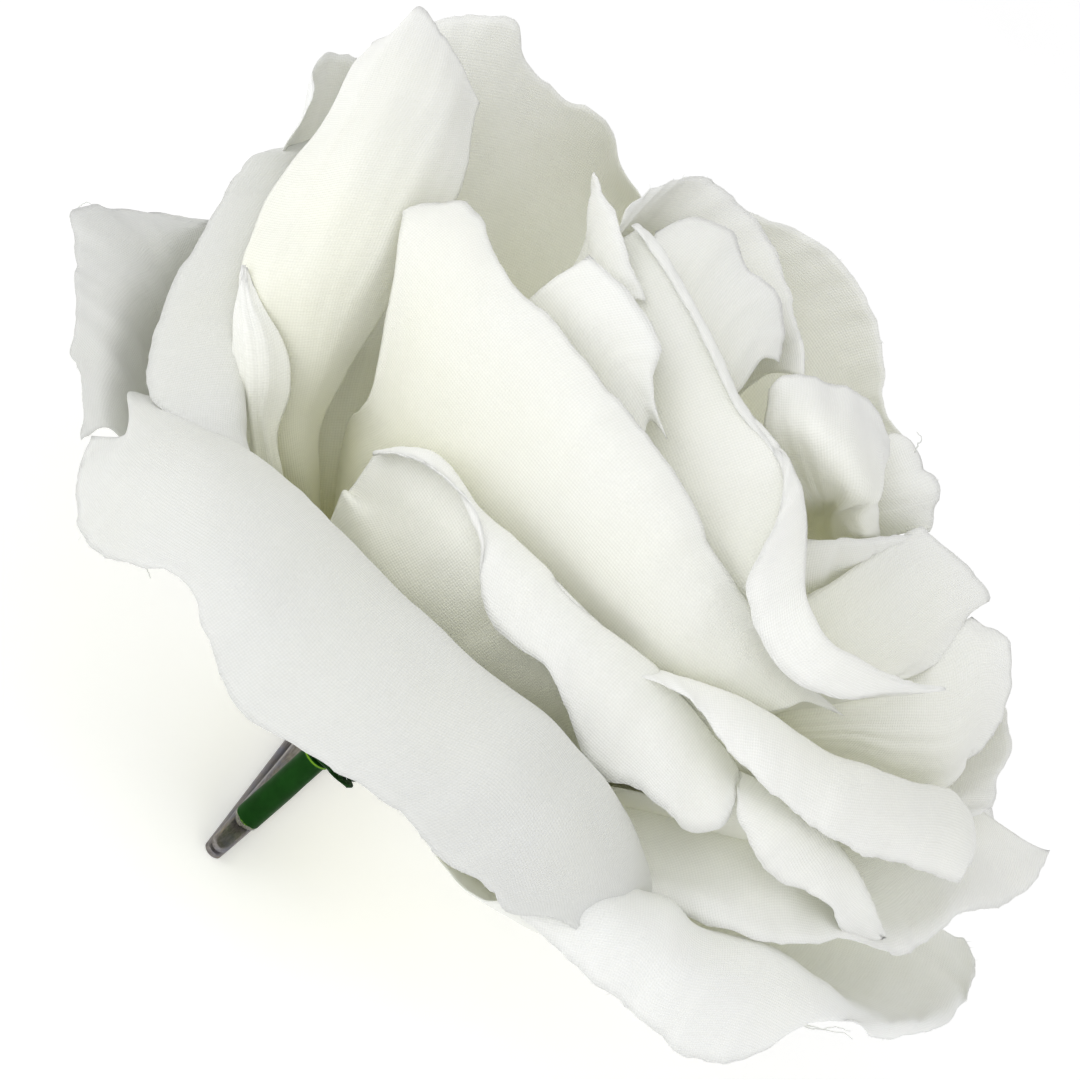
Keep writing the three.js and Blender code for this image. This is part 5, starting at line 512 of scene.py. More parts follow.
    [[-15.3, -7.3, 38.1], [-12.3, -11.8, 38.1], [-7.9, -15.0, 38.1], [-2.8, -16.8, 38.1], [2.6, -16.8, 38.1], [7.8, -15.1, 38.1], [12.1, -11.9, 38.1]],
    [[-24.0, -15.3, 54.1], [-18.6, -21.6, 54.1], [-11.7, -26.0, 54.1], [-3.7, -28.3, 54.1], [4.5, -28.1, 54.1], [12.4, -25.7, 54.1], [19.3, -21.0, 54.1]],
    [[-25.5, -21.9, 63.2], [-15.5, -28.4, 65.5], [-4.3, -31.3, 67.9], [7.0, -31.8, 68.4], [15.6, -30.2, 67.9], [23.5, -26.1, 68.8]],
    [[-31.5, -19.1, 70.8], [-20.1, -26.6, 74.3], [-8.9, -30.6, 76.0], [1.3, -32.1, 75.5], [9.7, -32.0, 74.7], [18.4, -29.8, 73.5], [26.3, -25.7, 73.9]],
    [[-35.2, -16.0, 74.6], [-30.4, -17.7, 78.0], [-24.7, -21.9, 78.9], [-16.3, -26.3, 80.3], [-7.0, -29.4, 81.6], [2.0, -30.4, 81.3], [9.8, -30.5, 78.9], [18.4, -28.3, 77.0], [27.9, -22.7, 74.9]],
    [[-35.9, -14.9, 75.2], [-34.7, -14.0, 77.3], [-32.8, -13.1, 79.4], [-30.3, -14.2, 80.5], [-27.9, -16.8, 80.7], [-25.3, -19.4, 81.0], [-16.7, -23.8, 82.9], [-10.0, -26.4, 83.5], [-4.1, -27.5, 83.8], [2.1, -28.1, 83.5], [10.0, -28.5, 81.0], [17.8, -26.8, 78.9], [25.5, -23.1, 76.4], [31.7, -18.4, 74.5]],
  ], {'crease': 0.8, 'tone': (0.0, 0.95)}),
  # cup, small petal at the front left
  "petal_cup_front_left": ([
    [[-4.0, -3.3, 26.1], [-3.3, -4.0, 26.1], [-2.5, -4.5, 26.1], [-1.6, -4.9, 26.1], [-0.7, -5.2, 26.1]],
    [[-12.6, -12.5, 45.1], [-8.7, -15.6, 45.1], [-2.8, -17.9, 45.1]],
    [[-19.7, -16.2, 63.1], [-12.9, -21.5, 63.1], [-4.1, -25.3, 63.1]],
    [[-20.9, -19.1, 79.0], [-14.3, -21.9, 79.2], [-7.7, -24.2, 79.6], [-2.1, -24.9, 80.4]],
    [[-20.6, -17.6, 84.6], [-15.1, -20.4, 85.3], [-9.1, -22.1, 84.9], [-3.9, -23.4, 83.3]],
    [[-20.1, -15.6, 87.0], [-16.9, -17.3, 88.1], [-14.0, -18.4, 88.6], [-10.9, -19.5, 88.7], [-9.0, -20.1, 88.3], [-7.0, -21.7, 86.0], [-5.1, -22.8, 84.9], [-1.6, -24.5, 83.7]],
  ], {}),
  # cup, narrow petal at the left
  "petal_cup_left": ([
    [[-4.9, -0.2, 26.1], [-4.8, -1.0, 26.1], [-4.6, -1.7, 26.1], [-4.3, -2.4, 26.1], [-3.9, -3.0, 26.1]],
    [[-15.3, -7.3, 45.1], [-16.2, -4.3, 45.1], [-17.1, -1.3, 45.1]],
    [[-14.1, -11.4, 79.5], [-16.9, -10.3, 78.9], [-19.1, -8.2, 77.6]],
    [[-15.0, -13.4, 84.3], [-17.7, -11.7, 84.2], [-20.3, -8.6, 84.0], [-22.2, -5.0, 84.4]],
    [[-14.1, -14.4, 86.6], [-17.4, -12.8, 86.8], [-20.7, -9.1, 86.4], [-23.6, -5.0, 86.1], [-25.4, -1.9, 86.6]],
    [[-12.8, -14.3, 87.4], [-15.2, -13.3, 88.0], [-17.8, -11.7, 88.7], [-20.3, -9.6, 89.3], [-23.3, -6.0, 88.5], [-25.9, -1.9, 87.4]],
  ], {}),
  # cup, upright petal at the right
  "petal_cup_right": ([
    [[3.4, -3.1, 28.1], [3.9, -2.4, 28.1], [4.3, -1.6, 28.1], [4.5, -0.7, 28.1], [4.6, 0.2, 28.1]],
    [[13.6, -10.6, 47.1], [18.8, -5.8, 47.1], [21.1, 1.1, 47.1]],
    [[19.4, -13.9, 63.1], [25.6, -9.1, 64.1], [29.0, -1.3, 65.1]],
    [[19.8, -16.9, 78.2], [23.1, -18.0, 77.1], [28.0, -16.2, 76.9], [33.6, -8.5, 77.7]],
    [[21.3, -8.9, 80.8], [25.6, -10.1, 80.2], [30.7, -7.3, 79.9], [35.2, -2.5, 78.2]],
    [[22.8, -2.0, 84.1], [27.2, -2.2, 83.5], [32.3, -0.4, 82.6], [35.4, 0.5, 79.5]],
    [[23.5, 1.0, 86.2], [28.6, 2.8, 86.0], [31.6, 3.6, 85.7], [34.5, 4.5, 84.8], [34.2, 3.0, 82.7], [35.3, 2.0, 80.7]],
  ], {}),
  # bud wrap, long petal across the front, rolled out on the right
  "petal_bud_front": ([
    [[-3.3, -3.6, 26.6], [-1.4, -4.7, 26.6], [0.7, -4.8, 26.6], [2.7, -4.1, 26.6], [4.2, -2.5, 26.6]],
    [[-12.4, -8.5, 47.1], [-5.6, -14.8, 47.1], [3.2, -18.2, 47.1], [11.3, -17.0, 47.1], [16.5, -11.7, 47.1]],
    [[-18.4, -9.2, 64.1], [-10.8, -17.5, 64.1], [1.0, -23.1, 64.1], [11.9, -24.5, 64.1], [21.1, -20.9, 64.1], [27.4, -13.2, 64.1]],
    [[-18.3, -10.2, 82.2], [-10.3, -16.6, 81.8], [-1.0, -22.0, 80.0], [6.3, -26.3, 77.8], [11.9, -27.0, 77.0], [18.7, -25.3, 75.5], [25.7, -21.1, 74.9], [31.2, -14.4, 74.7]],
    [[-19.2, -8.7, 85.7], [-10.3, -15.1, 86.4], [-1.0, -20.0, 84.8], [6.4, -23.8, 83.3], [11.9, -26.0, 82.2], [17.6, -26.3, 81.0], [24.2, -25.6, 80.4], [30.3, -21.3, 79.9], [34.7, -15.5, 80.5]],
    [[-18.7, -7.2, 89.3], [-14.9, -9.9, 90.6], [-9.9, -13.1, 90.7], [-4.5, -15.0, 89.9], [0.7, -17.0, 89.0], [8.3, -19.4, 89.6], [12.8, -22.6, 88.7], [16.3, -25.7, 86.4], [19.2, -27.9, 84.7], [22.9, -29.0, 83.7], [28.7, -25.8, 83.7], [35.7, -17.1, 83.7]],
    [[-19.2, -8.4, 89.3], [-14.9, -11.4, 90.2], [-9.9, -14.3, 90.5], [-4.6, -16.2, 89.6], [0.6, -18.2, 88.7], [8.2, -20.7, 89.2], [11.2, -25.0, 87.4], [12.6, -28.6, 85.0], [13.9, -30.9, 82.4], [16.5, -31.7, 81.1], [19.9, -31.9, 79.7], [23.8, -31.1, 79.0], [27.0, -29.2, 79.4], [29.5, -26.3, 80.2], [32.8, -21.5, 82.2], [36.1, -16.8, 83.9]],
  ], {'crease': 0.7, 'rag': 0.6}),
  # bud wrap, back
  "petal_bud_back": ([
    [[2.4, 3.7, 27.6], [1.2, 4.2, 27.6], [0, 4.4, 27.6], [-1.2, 4.2, 27.6], [-2.4, 3.7, 27.6]],
    [[-8.5, 11.4, 53.1], [-0.3, 15.0, 53.1], [8.6, 13.6, 53.1], [13.4, 8.4, 53.1]],
    [[-13.3, 16.6, 73.1], [-4.1, 21.2, 73.1], [4.0, 21.8, 73.1], [12.8, 18.5, 73.1], [18.5, 12.2, 73.1]],
    [[-16.4, 17.7, 80.3], [-8.2, 21.9, 81.7], [1.0, 23.5, 82.5], [9.1, 22.1, 81.2], [17.8, 15.2, 79.7]],
    [[-16.3, 17.2, 87.1], [-10.2, 20.5, 88.5], [-7.1, 21.8, 89.7], [-4.8, 22.2, 90.2], [1.0, 23.0, 90.1], [5.0, 22.8, 89.1], [10.4, 21.1, 86.6], [14.1, 18.4, 84.3], [17.7, 15.7, 84.7], [20.4, 12.1, 85.4]],
  ], {}),
  # bud wrap, left
  "petal_bud_left": ([
    [[-1.9, 3.7, 28.1], [-3.2, 2.7, 28.1], [-4.0, 1.3, 28.1], [-4.2, -0.4, 28.1], [-3.7, -1.9, 28.1]],
    [[-10.2, -4.6, 53.1], [-11.9, 2.5, 53.1], [-8.6, 8.4, 53.1], [-2.6, 9.1, 53.1], [1.2, 5.0, 53.1]],
    [[-17.3, -6.3, 73.1], [-18.9, 2.8, 73.1], [-14.5, 10.6, 73.1], [-6.5, 12.3, 73.1], [0.3, 7.0, 73.1], [2.0, 0.9, 73.1]],
    [[-19.7, -8.1, 86.6], [-19.6, -2.1, 87.0], [-16.5, 5.7, 86.7], [-9.5, 9.4, 86.6], [-2.8, 5.1, 86.7], [1.8, -1.1, 87.2]],
    [[-21.0, -6.1, 89.9], [-20.7, -2.1, 90.2], [-19.6, 3.9, 91.3], [-18.2, 8.8, 91.2], [-13.4, 12.6, 90.7], [-8.4, 13.4, 90.1], [-3.6, 9.2, 89.8], [0.4, 3.5, 90.0], [2.8, -1.1, 89.9], [3.9, -3.2, 89.7]],
  ], {}),
  # bud, hooded petal over the centre
  "petal_bud_hood": ([
    [[-0.5, -3.6, 30.1], [0.9, -3.5, 30.1], [2.1, -2.9, 30.1], [3.0, -2.0, 30.1], [3.5, -0.8, 30.1]],
    [[-0.2, -5.0, 51.1], [5.6, -9.3, 51.1], [11.7, -7.5, 51.1]],
    [[18.4, -0.8, 73.4], [19.3, -2.8, 76.1], [20.4, -5.9, 79.9], [21.7, -4.0, 81.1], [22.9, 1.0, 80.8]],
    [[15.7, 0.3, 76.1], [16.3, -0.7, 78.1], [16.7, -7.7, 83.5], [17.9, -10.8, 86.8], [19.9, -5.9, 86.4]],
    [[10.6, -12.5, 85.0], [11.1, -14.5, 88.2], [12.8, -15.6, 90.7], [14.9, -14.2, 91.6], [17.0, -7.3, 90.1]],
    [[5.7, -13.8, 86.4], [6.3, -14.8, 89.1], [8.5, -15.9, 92.7], [11.7, -12.5, 93.2], [15.6, -5.2, 91.3]],
    [[2.7, -11.1, 88.4], [3.5, -11.7, 90.7], [5.2, -11.2, 92.7], [8.6, -8.4, 93.2], [12.1, -4.5, 92.2], [15.2, -2.2, 90.8]],
    [[2.0, -10.6, 89.3], [2.2, -10.1, 91.2], [3.2, -8.6, 92.0], [5.8, -6.3, 92.9], [8.0, -4.4, 93.0], [9.8, -2.4, 92.8], [12.4, -1.5, 92.0], [14.7, -0.6, 90.7]],
  ], {}),
  # bud, inner left
  "petal_bud_inner_left": ([
    [[-3.3, 0.7, 29.1], [-3.4, -0.4, 29.1], [-3.0, -1.6, 29.1], [-2.3, -2.5, 29.1], [-1.3, -3.1, 29.1]],
    [[-7.2, -3.7, 55.1], [-5.9, 2.3, 55.1], [-1.8, 4.1, 55.1]],
    [[-13.3, -7.4, 73.1], [-9.2, -4.6, 73.1], [-3.2, -3.9, 73.1], [0.8, -5.0, 73.1]],
    [[-15.8, -8.3, 86.6], [-11.0, -8.5, 87.6], [-5.3, -9.3, 87.3], [0.4, -10.0, 86.5]],
    [[-16.7, -4.3, 87.9], [-11.8, -3.5, 89.6], [-6.0, -3.7, 90.1], [-0.3, -6.0, 88.9]],
    [[-17.1, -2.8, 88.8], [-15.1, 1.2, 90.8], [-11.6, 3.5, 91.8], [-7.8, 1.3, 91.6], [-3.9, 1.7, 91.7], [-1.0, 0, 90.5], [1.2, -4.1, 89.6]],
  ], {}),
  # bud, inner right
  "petal_bud_inner_right": ([
    [[2.7, -1.7, 31.1], [3.1, -0.7, 31.1], [3.2, 0.4, 31.1], [2.8, 1.5, 31.1], [2.2, 2.4, 31.1]],
    [[8.9, -1.4, 55.1], [13.1, 1.4, 55.1], [13.3, 6.4, 55.1]],
    [[12.5, 3.5, 88.0], [16.2, 0.3, 85.3], [21.6, 3.1, 79.2]],
    [[14.2, 3.9, 89.0], [18.1, 0.7, 86.6], [22.5, 3.0, 81.2]],
    [[14.6, 4.9, 89.3], [17.3, 3.3, 89.3], [20.3, 2.3, 87.6], [23.5, 3.5, 83.5]],
    [[14.9, 5.6, 89.3], [16.0, 5.5, 89.7], [17.3, 5.4, 89.8], [18.5, 5.4, 89.6], [19.9, 5.1, 88.9], [21.1, 5.1, 89.1], [22.4, 5.0, 88.6], [23.1, 5.0, 87.3], [24.2, 4.7, 86.2], [24.9, 4.4, 85.0]],
  ], {}),
  # bud, rolled centre
  "petal_bud_centre": ([
    [[0.8, -2.5, 32.1], [1.7, -2.0, 32.1], [2.3, -1.2, 32.1], [2.6, -0.2, 32.1], [2.5, 0.8, 32.1]],
    [[7.8, -4.3, 57.1], [11.9, -2.5, 57.1], [13.1, 1.4, 57.1]],
    [[19.9, -13.4, 76.6], [22.1, -6.5, 79.2], [23.7, 1.0, 82.1], [24.8, 3.9, 84.6]],
    [[17.7, -13.8, 79.4], [20.3, -8.9, 81.8], [22.9, -2.0, 83.4], [24.9, 2.9, 85.3]],
    [[15.6, -13.2, 81.7], [16.9, -12.2, 82.8], [18.5, -10.3, 84.1], [20.4, -6.9, 84.7], [22.6, -2.0, 85.2], [24.8, 2.9, 85.8]],
  ], {}),
}
THREADS = [
  ["petal_outer_front_right", [[52.9, -14.3, 44.4], [54.5, -14.4, 45.4], [56.2, -14.5, 46.8], [57.3, -14.5, 47.8], [58.2, -14.6, 48.0]]],
  ["petal_outer_front_right", [[53.6, -14.9, 44.7], [55.3, -14.4, 45.9], [56.3, -14.5, 47.7], [57.4, -14.5, 48.4]]],
  ["petal_bud_inner_right", [[17.5, 1.2, 91.2], [17.1, 1.3, 92.0], [16.9, 2.3, 92.3], [16.1, 2.3, 92.4]]],
  ["petal_outer_far_left", [[-60.5, 4.6, 36.9], [-60.6, 4.6, 37.9], [-60.3, 4.6, 38.8], [-59.4, 4.6, 39.1], [-58.9, 4.6, 38.9]]],
  ["petal_outer_front", [[-28.2, -33.8, 35.9], [-27.0, -33.9, 35.7], [-26.1, -33.9, 35.4]]],
]
GLUE_SMEAR = [[1.9, -3.1, 17.4], [1.9, -3.6, 18.5], [2.8, -3.6, 18.5], [3.5, -3.7, 18.3]]
# underside of the flower-side jaw, from the nose to the thumb end: [y, z]
JAW_LINE = [[-4.7, 1.0], [-3, 1.45], [0, 2.35], [3, 3.4], [6, 4.35], [9, 5.15], [12, 5.75], [16, 6.15], [22, 6.3], [28, 6.35], [33, 6.6], [36, 7.4], [40, 9.0], [45, 11.0], [50, 13.0]]
FLOOR_GLOW = 0.27
WORLD = 0.68
LAMPS = [('front', (0.05, 0.2, 1.0), 0.9, 0.5, 1.2), ('key', (-0.5, 0.75, 0.75), 0.6, 0.5, 0.8), ('fill', (0.8, -0.2, 0.6), 0.7, 0.6, 0.5)]  # name, direction (picture right, picture up, towards the camera), distance, size, watts

# ---------------------------------------------------------------- petals
CLOTH_MM = 0.26
ROOT_R = 5.6  # the petals' roots are glued round the core inside this radius

def petal(name, rows, seed, look):
    """One heat-pressed petal: a smooth sheet through its rows, pressed creases fanning from the root, a soft uneven surface
    and a hot-cut edge that wanders a little. It is closed, with both faces and its cut edge."""
    wid = max(np.linalg.norm(np.diff(np.asarray(r, float), axis=0), axis=1).sum() for r in rows)
    nc = int(min(150, max(28, wid / 0.62)))
    net = np.array([resample(r, nc) for r in rows])
    seg = np.array([np.linalg.norm(net[i + 1] - net[i], axis=-1).mean() for i in range(len(net) - 1)])
    t = np.concatenate([[0], np.cumsum(seg)])
    nr = int(min(96, max(30, t[-1] / 0.85)))
    q = t[-1] * (np.linspace(0, 1, nr) ** 0.93)
    S = np.stack([spline(t, net[:, j], q) for j in range(nc)], axis=1)
    # arc lengths in both directions are the cloth's own coordinates
    len_v = np.concatenate([np.zeros((1, nc)), np.cumsum(np.linalg.norm(np.diff(S, axis=0), axis=-1), axis=0)])
    len_u = np.concatenate([np.zeros((nr, 1)), np.cumsum(np.linalg.norm(np.diff(S, axis=1), axis=-1), axis=1)], axis=1)
    len_u -= len_u[:, nc // 2:nc // 2 + 1]
    total_v, total_u = len_v[-1].mean(), np.abs(len_u[-1]).max() * 2
    fu = np.linspace(-1, 1, nc)[None, :] * np.ones((nr, 1))
    fv = len_v / np.maximum(len_v[-1:], 1e-6)
    N = normals(S)
    amp = look.get("crease", 1.0)
    # creases pressed from the root outwards, strongest two thirds of the way out
    fan = soft_noise(fu * 4.2 + 7, fv * 0.8, seed) * 0.55 + soft_noise(fu * 9.5 + 3, fv * 1.3, seed + 1) * 0.32 + soft_noise(fu * 21, fv * 1.6, seed + 2) * 0.12
    cup = soft_noise(len_u / 9.0 + 5, len_v / 8.0, seed + 3) * 0.30 + soft_noise(len_u / 3.6, len_v / 3.9, seed + 4) * 0.10 + soft_noise(len_u / 1.6, len_v / 1.7, seed + 5) * 0.035
    grow = np.clip((fv - 0.30) / 0.45, 0, 1)
    grow = grow * grow * (3 - 2 * grow)
    edge = np.clip((fv - 0.90) / 0.10, 0, 1)
    lift = amp * grow * (fan * (0.42 - 0.12 * edge) + cup)
    S = S + N * lift[..., None]
    # the margin: short ripples along the cut and a slight wander of the cut itself
    along = len_u[-1]
    out = S[-1] - S[-3]
    out /= np.maximum(np.linalg.norm(out, axis=-1, keepdims=True), 1e-9)
    wander = 0.30 * soft_noise(along / 2.6, along * 0 + 1.5, seed + 6) + 0.17 * soft_noise(along / 0.9, along * 0 + 2.5, seed + 7)
    ragged = look.get("rag", 1.0)
    near = np.clip((fv - 0.93) / 0.07, 0, 1)[..., None]
    S = S + out[None] * (wander * ragged)[None, :, None] * near
    ripple = 0.20 * soft_noise(len_u / 2.1 + 11, fv * 3, seed + 8) + 0.10 * soft_noise(len_u / 0.95, fv * 4, seed + 9)
    N = normals(S)
    S = S + N * (ripple * ragged * np.clip((fv - 0.88) / 0.12, 0, 1))[..., None]
    for side, j0, j1 in ((0, 0, 1), (-1, -1, -2)):
        o = S[:, j0] - S[:, j1]
        o /= np.maximum(np.linalg.norm(o, axis=-1, keepdims=True), 1e-9)
        s = 0.22 * soft_noise(len_v[:, j0] / 2.2, len_v[:, j0] * 0 + 4.5 + side, seed + 10)
        S[:, j0] += o * (s * grow[:, j0] * ragged)[:, None]
    N = normals(S)
    # the cut edge is singed thin
    thin = np.ones((nr, nc))
    thin[-1] = thin[:, 0] = thin[:, -1] = 0.45
    half = CLOTH_MM / 2 * thin[..., None]
    top, low = (S + N * half).reshape(-1, 3), (S - N * half).reshape(-1, 3)
    k = nr * nc
    grid = np.arange(k).reshape(nr, nc)
    a, b, c, d = grid[:-1, :-1].ravel(), grid[:-1, 1:].ravel(), grid[1:, 1:].ravel(), grid[1:, :-1].ravel()
    faces = np.stack([a, b, c, d], 1).tolist() + np.stack([a + k, d + k, c + k, b + k], 1).tolist()
    rim = list(grid[0, :]) + list(grid[1:, -1]) + list(grid[-1, -2::-1]) + list(grid[-2:0:-1, 0])
    for i, p in enumerate(rim):
        r = rim[(i + 1) % len(rim)]
        faces.append([int(p), int(p + k), int(r + k), int(r)])
    uv = np.stack([len_u, len_v], -1).reshape(-1, 2) / 10.0
    lo_tone = look.get("tone", (0.0, 1.0))
    tone = lo_tone[0] + (lo_tone[1] - lo_tone[0]) * fv.ravel() ** look.get("fade", 1.0)
    # petals marked for shade get a darker copy of the cloth: painted shade
    ob = put(name + "_cloth", np.vstack([top, low]), faces, [M_CLOTH_DEEPEST_PAINTED_SHADE if look.get("deepest_painted_shade") else M_CLOTH_PAINTED_SHADE if look.get("outer") else M_CLOTH_COOL_PAINTED_SHADE if look.get("cool_painted_shade") else M_CLOTH], uv=np.vstack([uv, uv]), tone=np.concatenate([tone, tone]))
    ob.data.transform(Matrix.Identity(4))
    area = (np.linalg.norm(np.cross(S[1:, :-1] - S[:-1, :-1], S[:-1, 1:] - S[:-1, :-1]), axis=-1)).sum()
    flat_w = max(10.5, float(np.linalg.norm(np.diff(S, axis=1), axis=-1).sum(1).max()))
    flat_l = float(np.linalg.norm(np.diff(S, axis=0), axis=-1).sum(0).mean())
    area = min(max(float(area), 0.31 * flat_w * flat_l), flat_w * flat_l)
    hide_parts(name)
    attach(ob, "flower_side")
    return ob, S, (flat_w, flat_l, area)


def tube(path, radii, sides=8, closed_ends=True):
    """Vertices and faces of a round tube along a path."""
    path = np.asarray(path, float)
    radii = np.ones(len(path)) * radii
    tan = np.gradient(path, axis=0)
    tan /= np.maximum(np.linalg.norm(tan, axis=1, keepdims=True), 1e-9)
    ref = np.array([0, 0, 1.0]) if abs(tan[0][2]) < 0.9 else np.array([1.0, 0, 0])
    n = np.cross(tan[0], ref)
    n /= np.linalg.norm(n)
    verts, faces = [], []
    for i, p in enumerate(path):
        n = n - tan[i] * (n @ tan[i])
        n /= np.linalg.norm(n)
        b = np.cross(tan[i], n)
        for s in range(sides):
            a = 2 * math.pi * s / sides
            verts.append(p + radii[i] * (math.cos(a) * n + math.sin(a) * b))
    for i in range(len(path) - 1):
        for s in range(sides):
            p, q = i * sides + s, i * sides + (s + 1) % sides
            faces.append([p, q, q + sides, p + sides])
    if closed_ends:
        faces.append(list(range(sides))[::-1])
        faces.append([(len(path) - 1) * sides + s for s in range(sides)])
    return np.array(verts), faces


def join(chunks):
    verts, faces, base = [], [], 0
    for v, f in chunks:
        verts.append(np.asarray(v, float))
        faces += [[int(i) + base for i in face] for face in f]
        base += len(v)
    return np.vstack(verts), faces


def lathe(profile, segments=64):
    """A closed turned solid from a closed profile of (r, z)."""
    verts, faces, m = [], [], len(profile)
    for s in range(segments):
        a = 2 * math.pi * s / segments
        for r, z in profile:
            verts.append([r * math.cos(a), r * math.sin(a), z])
    for s in range(segments):
        t = (s + 1) % segments
        for i in range(m):
            j = (i + 1) % m
            faces.append([s * m + i, t * m + i, t * m + j, s * m + j])
    return np.array(verts), faces


made = {}
for order, (name, (rows, look)) in enumerate(PETALS.items()):
    made[name] = petal(name, rows, 100 + 17 * order, look)

# loose threads at the cut edges: [petal it belongs to, points]
rng = np.random.RandomState(5)
for i, (body_piece, pts) in enumerate(THREADS):
    path = resample(np.asarray(pts, float), 14)
    path[1:-1] += rng.uniform(-0.08, 0.08, (12, 3))
    v, f = tube(path, np.linspace(0.10, 0.05, 14), 6)
    t = put("loose_thread_%d" % (i + 1), v, f, [M_THREAD], tone=np.ones(len(v)))
    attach(t, "flower_side")

# fuzz: short fibre ends along every cut margin, one mesh for each petal's own margin
def fuzz(name, S, seed, count):
    r = np.random.RandomState(seed)
    edge = S[-1]
    out = S[-1] - S[-3]
    out /= np.maximum(np.linalg.norm(out, axis=-1, keepdims=True), 1e-9)
    chunks = []
    for _ in range(count):
        j = r.randint(2, len(edge) - 2)
        f = r.uniform()
        p = edge[j] * (1 - f) + edge[j + 1] * f - out[j] * 0.1
        side = edge[j + 1] - edge[j - 1]
        side /= np.linalg.norm(side)
        d = out[j] + side * r.uniform(-0.9, 0.9) + r.uniform(-0.4, 0.4, 3)
        d /= np.linalg.norm(d)
        ln = r.uniform(0.12, 0.38) * (2.2 if r.uniform() < 0.04 else 1)
        bend = side * r.uniform(-0.5, 0.5) * ln
        path = np.array([p + d * ln * q + bend * q * q for q in (0, 0.35, 0.7, 1.0)])
        chunks.append(tube(path, np.array([0.028, 0.024, 0.018, 0.012]), 3))
    v, f = join(chunks)
    return put(name, v, f, [M_THREAD], tone=np.ones(len(v)))

for k, (name, (ob, S, _)) in enumerate(made.items()):
    ln = np.linalg.norm(np.diff(S[-1], axis=0), axis=-1).sum()
    fz = fuzz(name + "_fibres", S, 900 + k, int(ln * 1.2))
    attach(fz, "flower_side")

# ---------------------------------------------------------------- stem, calyx, glue
def arc(cr, cz, r, a0, a1, n):
    return [(cr + r * math.cos(math.radians(a)), cz + r * math.sin(math.radians(a))) for a in np.linspace(a0, a1, n)]

STEM_R, BORE_R, LOW, TOP = 1.575, 0.95, 3.85, 16.1
profile = arc(STEM_R - 0.30, LOW + 0.30, 0.30, 270, 360, 7) + [(STEM_R, LOW + 1.2), (STEM_R + 0.012, 7.0), (STEM_R, 9.5), (STEM_R - 0.01, 12.0), (STEM_R, 15.2)]
profile += [(STEM_R + 0.01, 15.38)] + arc(STEM_R + 0.07, 15.62, 0.17, 250, 360, 6) + arc(STEM_R + 0.07, 15.84, 0.17, 0, 90, 5) + [(BORE_R + 0.1, TOP), (BORE_R, TOP - 0.1), (BORE_R, LOW + 0.15)] + arc(BORE_R + 0.10, LOW + 0.10, 0.10, 180, 270, 3)
v, f = lathe(profile, 72)
ang = np.arctan2(v[:, 1], v[:, 0])
rad = np.hypot(v[:, 0], v[:, 1])
outer = rad > 1.3
wave = 0.018 * np.sin(3 * ang + 0.8 * v[:, 2]) + 0.012 * np.sin(7 * ang - 1.7 * v[:, 2])
v[outer, 0] += (wave * np.cos(ang))[outer]
v[outer, 1] += (wave * np.sin(ang))[outer]
cut = v[:, 2] < LOW + 0.5
v[cut, 2] += 0.04 * np.sin(5 * ang[cut]) + 0.02 * np.sin(11 * ang[cut])
# faces at the cut end and on the seam ring take the lighter green: painted light
fm = [1 if (np.mean([v[i][2] for i in face]) < LOW + 0.16) or abs(np.mean([v[i][2] for i in face]) - 15.73) < 0.10 and np.mean([rad[i] for i in face]) > 1.66 else 0 for face in f]
stem = put("stem_tube_moulded", v, f, [M_STEM, M_RIM_PAINTED_GLOW], face_mat=fm)
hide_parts("stem_tube")
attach(stem, "flower_side")

# calyx: a small dome with five leaf-like sepals that follow the outer petals
dome = [(0.95, 16.4), (1.9, 16.4)] + arc(1.95, 16.65, 0.25, 270, 350, 4) + [(2.5, 16.95), (3.1, 17.2), (3.8, 17.55), (4.6, 17.95), (5.2, 18.35)] + arc(5.25, 18.65, 0.25, 290, 450, 6) + [(4.4, 18.75), (3.0, 18.5), (0.95, 18.3)]
chunks = [lathe(dome, 72)]
for kk in range(5):
    a0 = math.radians(-52 + 72 * kk)
    n_r, n_c = 28, 13
    top, low = [], []
    for i in range(n_r):
        tt = i / (n_r - 1)
        r = 3.4 + 3.8 * tt
        z = 18.05 + 0.35 * (r - 3.6) - 0.01 * (r - 3.6) ** 2
        w = max(0.04, 1.95 * max(0.0, 1 - tt) ** 0.6 * (0.75 + 0.9 * tt))
        for j in range(n_c):
            s = -1 + 2 * j / (n_c - 1)
            y = w * s
            vein = 0.10 * math.exp(-(s / 0.10) ** 2) + 0.03 * abs(math.sin(9 * tt * math.pi + 4 * abs(s)))
            zz = z - 0.08 * y * y - vein * 0.8
            half = 0.19 * (1 - 0.6 * abs(s) ** 3)
            p = [r * math.cos(a0) - y * math.sin(a0), r * math.sin(a0) + y * math.cos(a0)]
            top.append([*p, zz + half])
            low.append([*p, zz - half])
    k = n_r * n_c
    g = np.arange(k).reshape(n_r, n_c)
    a, b, c, d = g[:-1, :-1].ravel(), g[:-1, 1:].ravel(), g[1:, 1:].ravel(), g[1:, :-1].ravel()
    fs = np.stack([a, d, c, b], 1).tolist() + np.stack([a + k, b + k, c + k, d + k], 1).tolist()
    rim = list(g[0, :]) + list(g[1:, -1]) + list(g[-1, -2::-1]) + list(g[-2:0:-1, 0])
    for i, p in enumerate(rim):
        r2 = rim[(i + 1) % len(rim)]
        fs.append([int(p), int(r2), int(r2 + k), int(p + k)])
    chunks.append((np.array(top + low), fs))
v, f = join(chunks)
calyx = put("calyx_moulded", v, f, [M_CALYX])
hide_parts("calyx")
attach(calyx, "flower_side")
